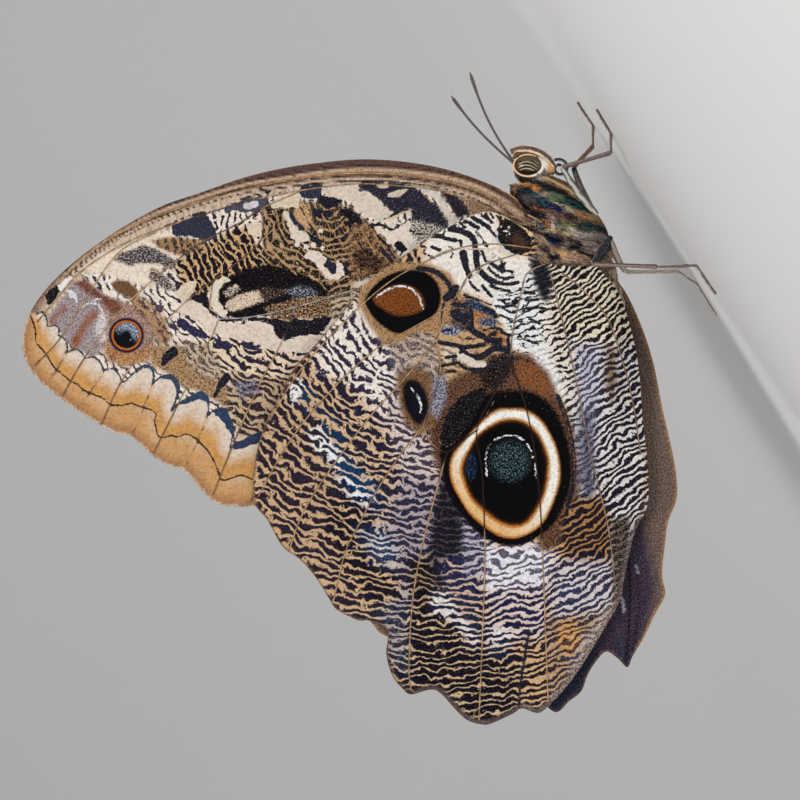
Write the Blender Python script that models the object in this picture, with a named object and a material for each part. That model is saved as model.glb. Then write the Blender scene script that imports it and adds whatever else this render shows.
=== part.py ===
"""Owl butterfly at rest with its wings closed over its back, at life size.

The animal stands on level ground with its head toward +X and its right side toward -Y.
Lengths below are in millimetres, and MM turns them into metres.
Body places are (forward, up) from the middle of the thorax.
Wing places are on a flat wing chart, (outward, hindward) from the same point, where
outward runs along the front edge to the wing tip and hindward to the hind wing's tail.
"""
import math

import bmesh
import bpy
from mathutils import Vector
from mathutils.geometry import delaunay_2d_cdt

MM = 0.001

# Stance
WING_PITCH = math.radians(57.0)
FLOOR = -11.2

# Wings
MEMBRANE = 0.5
VEIN_HEIGHT = 0.2
VEIN_HALF_ROOT = 0.55
VEIN_HALF_TIP = 0.35
FORE_LAYER = 0.68
HIND_LAYER = 1.92
HIND_LAYER_FREE = 0.8
HIND_SPREAD = 1.12
RELEASE_AT_ROOT = 5.0
RELEASE_AT_TAIL = 14.0
FAR_HIND_TURN = math.radians(6.5)
HIND_HINGE = (0.0, 1.5)
MARGIN_STEP = 2.6
VEIN_STEP = 4.2
GRID_STEP = 6.6
BODY_GRID_STEP = 2.2
BODY_REACH = 0.7
VEIN_MARGIN_GAP = 0.9
GRID_CLEAR = 1.9

FORE_OUTLINE = [
    (3.4, -0.8), (7.2, -1.4), (9.3, -3.6), (14.2, -6.0), (20.2, -7.9), (26.2, -8.9), (32.2, -9.2),
    (38.2, -8.7), (44.2, -7.8), (50.2, -6.3), (56.2, -4.2), (62.2, -2.1), (68.2, 1.2), (74.2, 5.4),
    (78.8, 9.6), (81.8, 13.8), (83.0, 17.7), (82.5, 21.0), (80.5, 24.0), (77.1, 26.8), (73.3, 29.5),
    (69.1, 31.8), (66.6, 32.5), (63.3, 35.4), (61.0, 36.8), (58.6, 37.6), (55.5, 41.1), (53.9, 42.4),
    (51.8, 42.9), (48.8, 43.0), (45.4, 42.6), (41.2, 39.0), (32.2, 29.2), (21.8, 18.0), (12.8, 9.0),
    (6.8, 4.6), (3.2, 3.2),
]
HIND_OUTLINE = [
    (3.0, 3.6), (8.2, 0.9), (11.2, -0.8), (13.9, -1.2), (17.7, 0.4), (20.4, 1.9), (25.8, 5.4),
    (31.3, 9.4), (35.2, 14.1), (39.2, 18.9), (42.4, 22.6), (45.3, 28.2), (46.9, 31.8), (47.9, 35.5),
    (48.3, 40.2), (47.9, 42.8), (46.2, 44.9), (43.9, 48.9), (41.2, 51.0), (39.0, 53.5), (36.8, 57.0),
    (35.7, 58.5), (32.5, 60.1), (31.0, 60.1), (28.2, 61.5), (28.3, 65.2), (27.4, 68.4), (25.9, 70.3),
    (24.6, 71.2), (21.8, 70.5), (20.2, 71.0), (17.6, 73.8), (16.1, 75.1), (14.1, 75.7), (12.6, 75.6),
    (9.3, 74.1), (7.9, 73.3), (5.7, 74.0), (4.2, 73.2), (1.2, 70.0), (-1.6, 66.0), (-5.0, 60.4),
    (-6.9, 56.9), (-7.3, 54.4), (-8.4, 49.2), (-9.2, 46.4), (-10.7, 43.5), (-11.1, 40.6),
    (-10.9, 36.0), (-10.2, 29.8), (-9.6, 22.5), (-8.4, 16.5), (-6.6, 11.2), (-4.6, 8.6), (-1.6, 5.6),
]
FAR_TAIL_FROM = (20.2, 71.0)
FAR_TAIL_TO = (-7.3, 54.4)
FAR_TAIL = [
    (18.2, 71.2), (16.0, 70.4), (13.4, 71.0), (11.0, 73.2), (8.8, 71.8), (6.8, 70.5), (5.6, 68.2),
    (4.1, 66.3), (2.4, 65.0), (0.8, 66.2), (-0.5, 67.7), (-1.5, 66.1), (-3.5, 63.5), (-5.5, 60.3),
    (-7.4, 57.4),
]
FORE_VEINS = [
    [(5.0, 0.4), (11.2, -3.0), (18.0, -5.5), (26.2, -6.9), (38.2, -6.8), (51.3, -4.2), (64.2, -0.1),
     (72.8, 4.6), (77.5, 9.6)],
    [(6.0, 0.8), (14.2, -2.4), (20.2, -4.4), (26.2, -5.2), (34.5, -5.4), (46.9, -3.4), (59.2, 0.2),
     (67.5, 3.4), (74.1, 7.6), (77.4, 11.2), (80.7, 15.2)],
    [(63.1, 1.8), (68.5, 4.8), (72.8, 10.7), (77.2, 17.6), (81.6, 22.3)],
    [(41.2, -4.4), (46.9, -1.9), (50.2, 0.3), (56.2, 3.4), (62.1, 7.9), (68.0, 13.3), (73.6, 20.6),
     (77.1, 26.6)],
    [(46.9, -1.9), (47.2, 3.0), (51.9, 7.2), (57.6, 11.5), (62.8, 16.6), (68.0, 24.0), (71.2, 30.8)],
    [(54.4, 9.3), (54.8, 13.2), (53.5, 14.8), (56.7, 21.6), (59.7, 27.8), (63.3, 35.0)],
    [(7.0, 2.4), (14.2, 4.5), (21.8, 6.9), (31.9, 10.0), (42.0, 13.0), (48.8, 14.5), (53.5, 14.8)],
    [(42.0, 13.0), (43.9, 18.0), (47.5, 24.9), (51.0, 32.9), (54.3, 41.1)],
    [(31.9, 10.0), (36.0, 18.0), (41.2, 27.0), (46.0, 36.0), (48.8, 42.4)],
]
HIND_VEINS = [
    [(5.4, 4.4), (12.4, 3.6), (17.7, 4.3), (23.2, 6.6), (28.3, 9.6), (34.4, 15.0), (41.2, 22.5),
     (45.8, 30.0)],
    [(9.0, 5.2), (14.1, 6.9), (16.3, 8.7), (17.4, 10.9), (20.2, 13.7), (26.6, 17.4), (31.0, 20.2),
     (38.2, 27.3), (43.2, 33.8), (47.5, 41.4)],
    [(20.2, 13.7), (20.8, 17.8), (25.6, 23.8), (30.8, 29.5), (37.0, 37.8), (40.8, 43.9), (42.9, 49.5)],
    [(20.8, 17.8), (20.2, 22.6), (21.6, 27.4), (22.8, 30.9)],
    [(22.8, 30.9), (21.6, 33.4), (19.2, 34.8), (16.9, 33.1), (14.7, 31.5)],
    [(22.8, 30.9), (25.9, 34.8), (29.7, 40.5), (32.7, 46.2), (34.5, 49.9), (36.3, 57.3)],
    [(19.2, 34.8), (20.2, 38.5), (22.5, 47.2), (24.3, 56.5), (24.9, 66.8), (24.6, 70.5)],
    [(4.6, 6.6), (7.2, 8.0), (8.1, 11.0), (9.4, 17.2), (9.8, 21.0), (12.0, 25.8), (14.7, 31.5),
     (13.9, 38.1), (13.5, 50.1), (13.9, 63.0), (14.4, 75.0)],
    [(9.8, 21.0), (7.2, 28.6), (5.5, 38.9), (4.8, 51.0), (4.3, 64.5), (4.0, 72.3)],
    [(3.6, 8.4), (2.1, 14.2), (-0.3, 24.6), (-2.4, 35.2), (-5.0, 46.0), (-6.1, 54.8)],
    [(2.0, 8.0), (-0.8, 10.2), (-4.6, 14.5), (-7.0, 21.0), (-8.7, 27.3), (-9.9, 35.0)],
]

# Body: stations of (forward, up, half depth, half width, lean), where lean is how far the
# ring's top stands ahead of its middle for each millimetre of half depth
THORAX = [
    (7.6, 1.2, 1.3, 1.3, 0.0), (7.85, 1.75, 2.65, 2.0, 0.43), (7.5, 2.25, 3.65, 2.7, 0.54),
    (4.7, 1.8, 4.2, 3.6, 0.31), (2.6, 1.5, 4.3, 4.25, 0.12), (0.6, 1.2, 4.5, 4.7, 0.0),
    (-2.2, 1.0, 4.6, 4.7, 0.0), (-4.8, 0.9, 4.1, 4.2, 0.0), (-6.8, 0.7, 3.2, 3.3, 0.0),
    (-7.8, 0.6, 2.3, 2.4, 0.0),
]
HEAD = [
    (7.9, 1.2, 1.2, 1.1, 0.0), (8.5, 1.2, 1.9, 1.3, 0.0), (9.6, 1.2, 2.3, 1.4, 0.0),
    (10.8, 1.2, 2.3, 1.4, 0.0), (11.8, 1.15, 1.8, 1.25, 0.0), (12.5, 1.1, 1.1, 0.9, 0.0),
    (12.8, 1.1, 0.5, 0.45, 0.0),
]
THORAX_CORE = (-0.4, 1.1, 8.0, 4.9, 4.95)
BODY_SIDES = 16

ABDOMEN_START = (-8.15, 0.6)
ABDOMEN_BEND = (-16.5, 4.4)
ABDOMEN_END = (-28.2, 11.7)
ABDOMEN_GIRTH = [(0.0, 2.3), (0.25, 3.1), (0.45, 3.2), (0.65, 2.8), (0.85, 2.0), (0.96, 1.2), (1.0, 0.6)]
ABDOMEN_SEGMENTS = 9
ABDOMEN_GROOVE = 0.12
ABDOMEN_SIDES = 14

EYE_PLACE = (10.75, 1.4)
EYE_SEAT = 1.7
EYE_LONG = 2.1
EYE_SHORT = 1.55
EYE_BULGE = 1.3

ANTENNA_ROOT = (12.15, 2.88)
ANTENNA_ROOT_SIDE = 0.75
ANTENNA_REACH = 14.4
ANTENNA_ARCH = 0.35
ANTENNA_DROOP = 1.1
ANTENNA_RAISE_L = 0.2
ANTENNA_SPREAD = math.radians(44.0)
ANTENNA_RADIUS = 0.27
ANTENNA_CLUB = 0.36
ANTENNA_STATIONS = 14

PALP_PATH = [(8.5, -1.85), (9.85, -1.72), (11.25, -1.22), (12.58, -0.25), (13.45, 1.0), (13.85, 2.1)]
PALP_RADII = [0.42, 0.52, 0.54, 0.5, 0.46, 0.22]
PALP_SIDE = 1.6

PROBOSCIS_CENTRE = (7.85, -2.42)
PROBOSCIS_OUTER = 1.5
PROBOSCIS_INNER = 0.42
PROBOSCIS_TURNS = 1.3
PROBOSCIS_RADIUS = 0.26

# Legs: (forward, side, up) of each joint
FORELEG = [(2.6, 3.05, -2.75), (4.4, 3.0, -2.0), (5.9, 2.65, -1.2), (7.2, 2.25, -0.4), (8.1, 1.95, 0.35)]
FORELEG_RADII = [0.42, 0.48, 0.46, 0.38, 0.2]
MIDLEG_R = {"hip": (-1.2, 3.05, -3.2), "knee": (7.6, 7.0, -2.4), "ankle": (5.4, 8.9, -9.6),
            "toe": (11.8, 12.9, FLOOR)}
HINDLEG_R = {"hip": (-5.0, 2.8, -3.2), "knee": (-7.0, 8.0, 1.6), "ankle": (-12.6, 9.0, -6.2),
             "toe": (-20.6, 11.4, FLOOR)}
MIDLEG_L = {"hip": (-1.2, 3.05, -3.2), "knee": (7.0, 7.7, -4.7), "ankle": (8.2, 13.1, -9.3),
            "toe": (15.2, 14.1, FLOOR)}
HINDLEG_L = {"hip": (-5.0, 2.8, -3.2), "knee": (-10.7, 7.5, -2.7), "ankle": (-15.1, 11.1, -9.7),
             "toe": (-23.8, 13.6, FLOOR)}
FEMUR_RADIUS = 0.52
TIBIA_RADIUS = 0.36
TARSUS_RADIUS = 0.29
CLAW_RADIUS = 0.14
LEG_SIDES = 8
JOINT_GAP = 0.32


# Materials

def material(name, colour, roughness, metallic=0.0):
    found = bpy.data.materials.new(name)
    found.use_nodes = True
    shader = found.node_tree.nodes["Principled BSDF"]
    shader.inputs["Base Color"].default_value = (*colour, 1.0)
    shader.inputs["Roughness"].default_value = roughness
    shader.inputs["Metallic"].default_value = metallic
    return found


# Curves

def spline_point(p0, p1, p2, p3, t):
    """One point of the Catmull-Rom curve between p1 and p2."""
    return 0.5 * (2 * p1 + (p2 - p0) * t + (2 * p0 - 5 * p1 + 4 * p2 - p3) * t * t
                  + (3 * p1 - p0 - 3 * p2 + p3) * t ** 3)


def smooth_path(points, step, closed=False):
    """Points about `step` apart on a smooth curve through the given ones."""
    pts = [Vector(p) for p in points]
    count = len(pts)
    found = []
    for i in range(count if closed else count - 1):
        p1 = pts[i]
        p2 = pts[(i + 1) % count]
        p0 = pts[i - 1] if (closed or i > 0) else 2 * p1 - p2
        p3 = pts[(i + 2) % count] if (closed or i + 2 < count) else 2 * p2 - p1
        pieces = max(1, round((p2 - p1).length / step))
        found += [spline_point(p0, p1, p2, p3, k / pieces) for k in range(pieces)]
    if not closed:
        found.append(pts[-1])
    return found


def distance_to_segment(p, a, b):
    """Distance from p to the segment ab, and how far along it the nearest point lies."""
    ab = b - a
    t = max(0.0, min(1.0, (p - a).dot(ab) / max(ab.length_squared, 1e-12)))
    return (p - a - ab * t).length, t


def distance_to_path(p, path):
    """Distance from p to a polyline, and the share of its length at the nearest point."""
    best = (1e9, 0.0)
    for i in range(len(path) - 1):
        d, t = distance_to_segment(p, path[i], path[i + 1])
        if d < best[0]:
            best = (d, (i + t) / (len(path) - 1))
    return best


def interpolate(table, t):
    """Linear value of a table of (place, value) at t."""
    for (t0, v0), (t1, v1) in zip(table, table[1:]):
        if t <= t1:
            return v0 + (v1 - v0) * (t - t0) / (t1 - t0)
    return table[-1][1]


def smoothstep(low, high, value):
    t = max(0.0, min(1.0, (value - low) / (high - low)))
    return t * t * (3 - 2 * t)


# Closed lofts

def make_object(name, verts, faces, mat, parent):
    """One triangulated, closed object from points in millimetres."""
    mesh = bpy.data.meshes.new(name)
    mesh.from_pydata([tuple(c * MM for c in v) for v in verts], [], faces)
    bm = bmesh.new()
    bm.from_mesh(mesh)
    bmesh.ops.triangulate(bm, faces=bm.faces[:])
    bmesh.ops.recalc_face_normals(bm, faces=bm.faces[:])
    bm.to_mesh(mesh)
    bm.free()
    mesh.shade_smooth()
    mesh.set_sharp_from_angle(angle=math.radians(40))
    mesh.materials.append(mat)
    obj = bpy.data.objects.new(name, mesh)
    bpy.context.scene.collection.objects.link(obj)
    obj.parent = parent
    return obj


def loft(name, rings, mat, parent):
    """A closed body through rings of equal point count, with flat ends."""
    sides = len(rings[0])
    verts = [p for ring in rings for p in ring]
    faces = [list(range(sides)), [len(verts) - sides + k for k in range(sides)]]
    for r in range(len(rings) - 1):
        for k in range(sides):
            a = r * sides + k
            b = r * sides + (k + 1) % sides
            faces.append([a, b, b + sides, a + sides])
    return make_object(name, verts, faces, mat, parent)


def body_rings(stations, sides):
    """Elliptical rings, upright or leaning forward."""
    rings = []
    for x, z, depth, width, lean in stations:
        turn = [2 * math.pi * k / sides for k in range(sides)]
        rings.append([(x + lean * depth * math.cos(t), width * math.sin(t), z + depth * math.cos(t))
                      for t in turn])
    return rings


def tube_rings(path, radii, sides, flat_floor=False):
    """Round rings square to a path; below the floor they are pressed flat on it."""
    rings = []
    up = Vector((0, 0, 1))
    for i, centre in enumerate(path):
        ahead = path[min(i + 1, len(path) - 1)]
        behind = path[max(i - 1, 0)]
        tangent = (ahead - behind).normalized()
        side = tangent.cross(up)
        side = side.normalized() if side.length > 0.05 else Vector((0, 1, 0))
        lift = side.cross(tangent).normalized()
        ring = []
        for k in range(sides):
            turn = 2 * math.pi * (k + 0.5) / sides
            p = centre + (side * math.cos(turn) + lift * math.sin(turn)) * radii[i]
            if flat_floor:
                p.z = max(p.z, FLOOR)
            ring.append(tuple(p))
        rings.append(ring)
    return rings


# Body

def abdomen_path(count):
    a = Vector((ABDOMEN_START[0], 0, ABDOMEN_START[1]))
    b = Vector((ABDOMEN_BEND[0], 0, ABDOMEN_BEND[1]))
    c = Vector((ABDOMEN_END[0], 0, ABDOMEN_END[1]))
    share = [k / (count - 1) for k in range(count)]
    return [a * (1 - t) ** 2 + b * 2 * t * (1 - t) + c * t * t for t in share]


def build_abdomen(mat, parent):
    """Rings that narrow a little at each joint between segments."""
    count = 2 * ABDOMEN_SEGMENTS + 1
    path = abdomen_path(count)
    radii = []
    for k in range(count):
        girth = interpolate(ABDOMEN_GIRTH, k / (count - 1))
        radii.append(girth - (ABDOMEN_GROOVE if k % 2 == 0 else 0.0))
    rings = tube_rings(path, radii, ABDOMEN_SIDES)
    start = ABDOMEN_START[0]
    rings[0] = [(start, y, z) for _, y, z in rings[0]]
    return loft("abdomen", rings, mat, parent)


def build_eye(name, side, mat, parent):
    """A domed eye whose flat back faces the side of the head."""
    tilt = WING_PITCH
    rings = []
    for k in range(6):
        rise = 0.5 * math.pi * min(k / 5, 0.97)
        ring = []
        for j in range(BODY_SIDES):
            turn = 2 * math.pi * j / BODY_SIDES
            long_part = EYE_LONG * math.cos(rise) * math.cos(turn)
            short_part = EYE_SHORT * math.cos(rise) * math.sin(turn)
            x = EYE_PLACE[0] + long_part * math.cos(tilt) - short_part * math.sin(tilt)
            z = EYE_PLACE[1] + long_part * math.sin(tilt) + short_part * math.cos(tilt)
            ring.append((x, side * (EYE_SEAT + EYE_BULGE * math.sin(rise)), z))
        rings.append(ring)
    return loft(name, rings, mat, parent)


def antenna_path(side):
    """A slightly drooping feeler that leans outward from the crown."""
    points = []
    for k in range(ANTENNA_STATIONS):
        t = k / (ANTENNA_STATIONS - 1)
        ahead = ANTENNA_REACH * t
        out = math.tan(ANTENNA_SPREAD) * ANTENNA_REACH * (t - 0.12 * math.sin(math.pi * t))
        rise = ANTENNA_ARCH * math.sin(math.pi * t) - ANTENNA_DROOP * t * t
        rise += ANTENNA_RAISE_L * ahead if side > 0 else 0.0
        points.append(Vector((ANTENNA_ROOT[0] + ahead, side * (ANTENNA_ROOT_SIDE + out),
                              ANTENNA_ROOT[1] + rise)))
    return points


def build_antenna(name, side, mat, parent):
    radii = []
    for k in range(ANTENNA_STATIONS):
        t = k / (ANTENNA_STATIONS - 1)
        club = (ANTENNA_CLUB - ANTENNA_RADIUS) * smoothstep(0.72, 0.9, t)
        radii.append((ANTENNA_RADIUS + club) * (1 - 0.65 * smoothstep(0.93, 1.0, t)))
    return loft(name, tube_rings(antenna_path(side), radii, LEG_SIDES), mat, parent)


def build_palp(name, side, mat, parent):
    path = [Vector((x, side * PALP_SIDE, z)) for x, z in PALP_PATH]
    return loft(name, tube_rings(path, PALP_RADII, LEG_SIDES), mat, parent)


def build_proboscis(mat, parent):
    """The tongue, coiled like a watch spring below the face."""
    count = 22
    path = []
    radii = []
    for k in range(count):
        t = k / (count - 1)
        reach = PROBOSCIS_INNER + (PROBOSCIS_OUTER - PROBOSCIS_INNER) * t
        turn = 2 * math.pi * PROBOSCIS_TURNS * (t - 1) + math.radians(40)
        path.append(Vector((PROBOSCIS_CENTRE[0] + reach * math.cos(turn), 0,
                            PROBOSCIS_CENTRE[1] + reach * math.sin(turn))))
        radii.append(PROBOSCIS_RADIUS)
    rings = []
    for i, centre in enumerate(path):
        ahead = path[min(i + 1, count - 1)]
        behind = path[max(i - 1, 0)]
        tangent = (ahead - behind).normalized()
        lift = tangent.cross(Vector((0, 1, 0)))
        ring = []
        for k in range(6):
            turn = 2 * math.pi * k / 6
            ring.append(tuple(centre + (lift * math.cos(turn) + Vector((0, math.sin(turn), 0)))
                              * radii[i]))
        rings.append(ring)
    return loft("proboscis", rings, mat, parent)


# Legs

def placed(point, side):
    return Vector((point[0], side * point[1], point[2]))


def mitre(ring, along, joint, normal, gap):
    """Slide a ring's points along its limb onto the plane through a joint, short by the gap."""
    cut = []
    for p in ring:
        p = Vector(p)
        reach = ((joint - p).dot(normal) + gap) / along.dot(normal)
        cut.append(tuple(p + along * reach))
    return cut


def limb_rings(start, end, radii, bow=0.0):
    count = len(radii)
    share = [k / (count - 1) for k in range(count)]
    path = [start.lerp(end, t) + Vector((0, 0, bow * math.sin(math.pi * t))) for t in share]
    return tube_rings(path, radii, LEG_SIDES)


def tarsus_path(ankle, toe):
    """Down from the ankle, then along the floor to the claw."""
    lay = FLOOR + TARSUS_RADIUS * 0.72
    path = [ankle]
    for share in (0.2, 0.38, 0.62, 0.86):
        p = ankle.lerp(toe, share)
        p.z = max(lay, ankle.z + (lay - ankle.z) * share / 0.38)
        path.append(p)
    path.append(Vector((toe.x, toe.y, FLOOR + CLAW_RADIUS * 0.72)))
    return path


def build_leg(kind, places, side, suffix, mat, parent):
    """Thigh, shank and foot, with flat faces that meet across a small gap at each joint."""
    hip, knee, ankle, toe = (placed(places[key], side) for key in ("hip", "knee", "ankle", "toe"))
    foot = tarsus_path(ankle, toe)
    thigh_way = (knee - hip).normalized()
    shank_way = (ankle - knee).normalized()
    foot_way = (foot[1] - ankle).normalized()
    knee_normal = (thigh_way + shank_way).normalized()
    ankle_normal = (shank_way + foot_way).normalized()
    femur = limb_rings(hip, knee, [FEMUR_RADIUS * s for s in (0.8, 1.15, 1.05, 0.8)], bow=0.3)
    tibia = limb_rings(knee, ankle, [TIBIA_RADIUS * s for s in (1.15, 0.95, 0.9, 1.0)])
    tarsus = tube_rings(foot, [TARSUS_RADIUS] * 5 + [CLAW_RADIUS], LEG_SIDES, flat_floor=True)
    femur[-1] = mitre(femur[-1], thigh_way, knee, knee_normal, -JOINT_GAP / 2)
    tibia[0] = mitre(tibia[0], shank_way, knee, knee_normal, JOINT_GAP / 2)
    tibia[-1] = mitre(tibia[-1], shank_way, ankle, ankle_normal, -JOINT_GAP / 2)
    tarsus[0] = mitre(tarsus[0], foot_way, ankle, ankle_normal, JOINT_GAP / 2)
    for piece, rings in (("femur", femur), ("tibia", tibia), ("tarsus", tarsus)):
        loft(f"{kind}_{suffix}_{piece}", rings, mat, parent)


def build_foreleg(name, side, mat, parent):
    path = [placed(p, side) for p in FORELEG]
    return loft(name, tube_rings(path, FORELEG_RADII, LEG_SIDES), mat, parent)


# Wings

def chart_to_body(p):
    """Chart (outward, hindward) to body (forward, up)."""
    c = math.cos(WING_PITCH)
    s = math.sin(WING_PITCH)
    return p.x * c - p.y * s, p.x * s + p.y * c


def body_swell(r, width):
    """Height of a sheet that lies on a rounded body of this half width and eases off it."""
    hug = 0.6
    if r < hug:
        return width * math.sqrt(1 - r * r)
    return width * math.sqrt(1 - hug * hug) * math.exp(-hug / (1 - hug * hug) * (r - hug))


ABDOMEN_LINE = abdomen_path(12)


def wing_stand_off(x, z):
    """How far the body pushes a closed wing away from the middle plane at (forward, up)."""
    cx, cz, half_length, half_depth, width = THORAX_CORE
    thorax = body_swell(math.hypot((x - cx) / half_length, (z - cz) / half_depth), width)
    d, t = distance_to_path(Vector((x, 0, z)), ABDOMEN_LINE)
    girth = interpolate(ABDOMEN_GIRTH, t) + 0.25
    core = max(girth, 1.6)
    abdomen = body_swell(d / core, core)
    return (thorax ** 4 + abdomen ** 4) ** 0.25


def hind_layer(x, z):
    """The hind wing lies on the fore wing, and sinks back toward the middle plane below it."""
    c = math.cos(WING_PITCH)
    s = math.sin(WING_PITCH)
    outward = x * c + z * s
    hindward = -x * s + z * c
    past_fore_wing = (hindward - 3.8 - (outward - 6.8)) * 0.707
    release = RELEASE_AT_ROOT + (RELEASE_AT_TAIL - RELEASE_AT_ROOT) * smoothstep(5.0, 25.0, hindward)
    free = smoothstep(1.0, release, past_fore_wing)
    return HIND_LAYER + (HIND_LAYER_FREE - HIND_LAYER) * free


def fore_height(x, z):
    return FORE_LAYER + wing_stand_off(x, z)


def hind_height(x, z):
    return hind_layer(x, z) + HIND_SPREAD * wing_stand_off(x, z)


def vein_lift(p, veins):
    """Height of the ridge over the membrane at a chart point."""
    lift = 0.0
    for line in veins:
        d, t = distance_to_path(p, line)
        half = VEIN_HALF_ROOT + (VEIN_HALF_TIP - VEIN_HALF_ROOT) * t
        lift = max(lift, VEIN_HEIGHT * (1 - d / half))
    return lift


def inside(p, loop):
    """True if p lies inside a closed outline."""
    odd = False
    for a, b in zip(loop, loop[1:] + loop[:1]):
        if (a.y > p.y) != (b.y > p.y) and p.x < a.x + (p.y - a.y) * (b.x - a.x) / (b.y - a.y):
            odd = not odd
    return odd


def wing_plan(outline_points, vein_points):
    """Chart points and triangles of a wing, split along its margin and both sides of each vein."""
    outline = smooth_path(outline_points, MARGIN_STEP, closed=True)
    rim = outline + outline[:1]
    veins = [smooth_path(line, VEIN_STEP) for line in vein_points]
    points = list(outline)
    count = len(outline)
    edges = [(k, (k + 1) % count) for k in range(count)]
    for line in veins:
        rows = []
        for i, centre in enumerate(line):
            t = i / (len(line) - 1)
            half = VEIN_HALF_ROOT + (VEIN_HALF_TIP - VEIN_HALF_ROOT) * t
            along = (line[min(i + 1, len(line) - 1)] - line[max(i - 1, 0)]).normalized()
            across = Vector((-along.y, along.x)) * half
            rows.append([centre + across, centre, centre - across])
        for track in range(3):
            last = None
            for row in rows:
                p = row[track]
                clear = inside(p, outline) and distance_to_path(p, rim)[0] > VEIN_MARGIN_GAP
                if not clear:
                    last = None
                    continue
                points.append(p)
                if last is not None:
                    edges.append((last, len(points) - 1))
                last = len(points) - 1
    low_x = min(p.x for p in outline)
    high_x = max(p.x for p in outline)
    low_y = min(p.y for p in outline)
    high_y = max(p.y for p in outline)
    coarse = round(GRID_STEP / BODY_GRID_STEP)
    for i in range(int((high_x - low_x) / BODY_GRID_STEP) + 1):
        for j in range(int((high_y - low_y) / BODY_GRID_STEP) + 1):
            p = Vector((low_x + BODY_GRID_STEP * (i + 0.5 * (j % 2)), low_y + BODY_GRID_STEP * j))
            on_body = wing_stand_off(*chart_to_body(p)) > BODY_REACH
            if not on_body and (i % coarse or j % coarse):
                continue
            clear = 0.6 if on_body else GRID_CLEAR
            near_line = min(distance_to_path(p, line)[0] for line in veins) - VEIN_HALF_ROOT
            if inside(p, outline) and min(near_line, distance_to_path(p, rim)[0]) > clear:
                points.append(p)
    made = delaunay_2d_cdt(points, edges, [], 1, 1e-4)
    verts, faces = made[0], made[2]
    used = sorted({k for face in faces for k in face})
    fresh = {old: new for new, old in enumerate(used)}
    verts = [verts[k] for k in used]
    faces = [[fresh[k] for k in face] for face in faces]
    return verts, faces, veins


def worn_outline():
    """The left hind wing's margin, whose tail is worn shorter than the right one's."""
    first = HIND_OUTLINE.index(FAR_TAIL_FROM)
    last = HIND_OUTLINE.index(FAR_TAIL_TO)
    return HIND_OUTLINE[:first + 1] + FAR_TAIL + HIND_OUTLINE[last:]


def turned(p, angle):
    """A chart point turned about the hind wing's hinge."""
    hinge = Vector(HIND_HINGE)
    arm = p - hinge
    c = math.cos(angle)
    s = math.sin(angle)
    return hinge + Vector((arm.x * c - arm.y * s, arm.x * s + arm.y * c))


def build_wing(name, plan, side, height, angle, mat, parent):
    """Two alike faces of a thin curved membrane with the veins raised on both."""
    points, faces, veins = plan
    verts_out = []
    verts_in = []
    for p in points:
        x, z = chart_to_body(turned(p, angle))
        y = height(x, z)
        slope = math.hypot(height(x + 0.1, z) - y, height(x, z + 0.1) - y) / 0.1
        half = (MEMBRANE / 2 + vein_lift(p, veins)) * math.sqrt(1 + slope * slope)
        verts_out.append((x, side * (y + half), z))
        verts_in.append((x, side * (y - half), z))
    count = len(points)
    edge_use = {}
    for face in faces:
        for a, b in zip(face, face[1:] + face[:1]):
            edge_use[(a, b)] = True
    solid_faces = [list(face) for face in faces]
    solid_faces += [[k + count for k in reversed(face)] for face in faces]
    for a, b in edge_use:
        if (b, a) not in edge_use:
            solid_faces.append([b, a, a + count, b + count])
    return make_object(name, verts_out + verts_in, solid_faces, mat, parent)


# The whole animal

def clear_scene():
    for obj in list(bpy.data.objects):
        bpy.data.objects.remove(obj, do_unlink=True)


def stand_on_ground(root):
    """Move the animal so that its box stands centred on the origin."""
    bpy.context.view_layer.update()
    corners = [obj.matrix_world @ v.co for obj in root.children for v in obj.data.vertices]
    low = [min(c[i] for c in corners) for i in range(3)]
    high = [max(c[i] for c in corners) for i in range(3)]
    root.location = (-(low[0] + high[0]) / 2, -(low[1] + high[1]) / 2, -low[2])


def main():
    clear_scene()
    root = bpy.data.objects.new("owl_butterfly", None)
    bpy.context.scene.collection.objects.link(root)
    fur = material("body_fur", (0.16, 0.13, 0.09), 0.85)
    horn = material("leg_horn", (0.12, 0.08, 0.06), 0.55)
    eye = material("eye_facets", (0.22, 0.19, 0.10), 0.25)
    scales = material("wing_scales", (0.34, 0.27, 0.19), 0.7)
    loft("thorax", body_rings(THORAX, BODY_SIDES), fur, root)
    loft("head", body_rings(HEAD, BODY_SIDES), fur, root)
    build_abdomen(fur, root)
    build_proboscis(horn, root)
    fore_plan = wing_plan(FORE_OUTLINE, FORE_VEINS)
    near_hind = (wing_plan(HIND_OUTLINE, HIND_VEINS), 0.0)
    far_hind = (wing_plan(worn_outline(), HIND_VEINS), FAR_HIND_TURN)
    for side, suffix, (hind_plan, hind_turn) in ((-1, "r", near_hind), (1, "l", far_hind)):
        build_eye(f"eye_{suffix}", side, eye, root)
        build_antenna(f"antenna_{suffix}", side, horn, root)
        build_palp(f"palp_{suffix}", side, fur, root)
        build_foreleg(f"foreleg_{suffix}", side, fur, root)
        build_leg("midleg", MIDLEG_R if side < 0 else MIDLEG_L, side, suffix, horn, root)
        build_leg("hindleg", HINDLEG_R if side < 0 else HINDLEG_L, side, suffix, horn, root)
        build_wing(f"forewing_{suffix}", fore_plan, side, fore_height, 0.0, scales, root)
        build_wing(f"hindwing_{suffix}", hind_plan, side, hind_height, hind_turn, scales, root)
    stand_on_ground(root)


main()
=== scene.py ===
"""The finished look of a life-size owl butterfly at rest with its wings closed.

Lengths are in millimetres and MM turns them into metres. Body places are (forward, side, up)
from the middle of the thorax. Wing places are on a flat chart, (outward, hindward) from the
same point. Markings are drawn on a plate of squares 0.15 mm wide, counted to the right and
down from its corner, and plate() turns them into chart places. Colours are display colours
written 0xRRGGBB, and paint() turns them into linear light.
"""

import math

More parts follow.
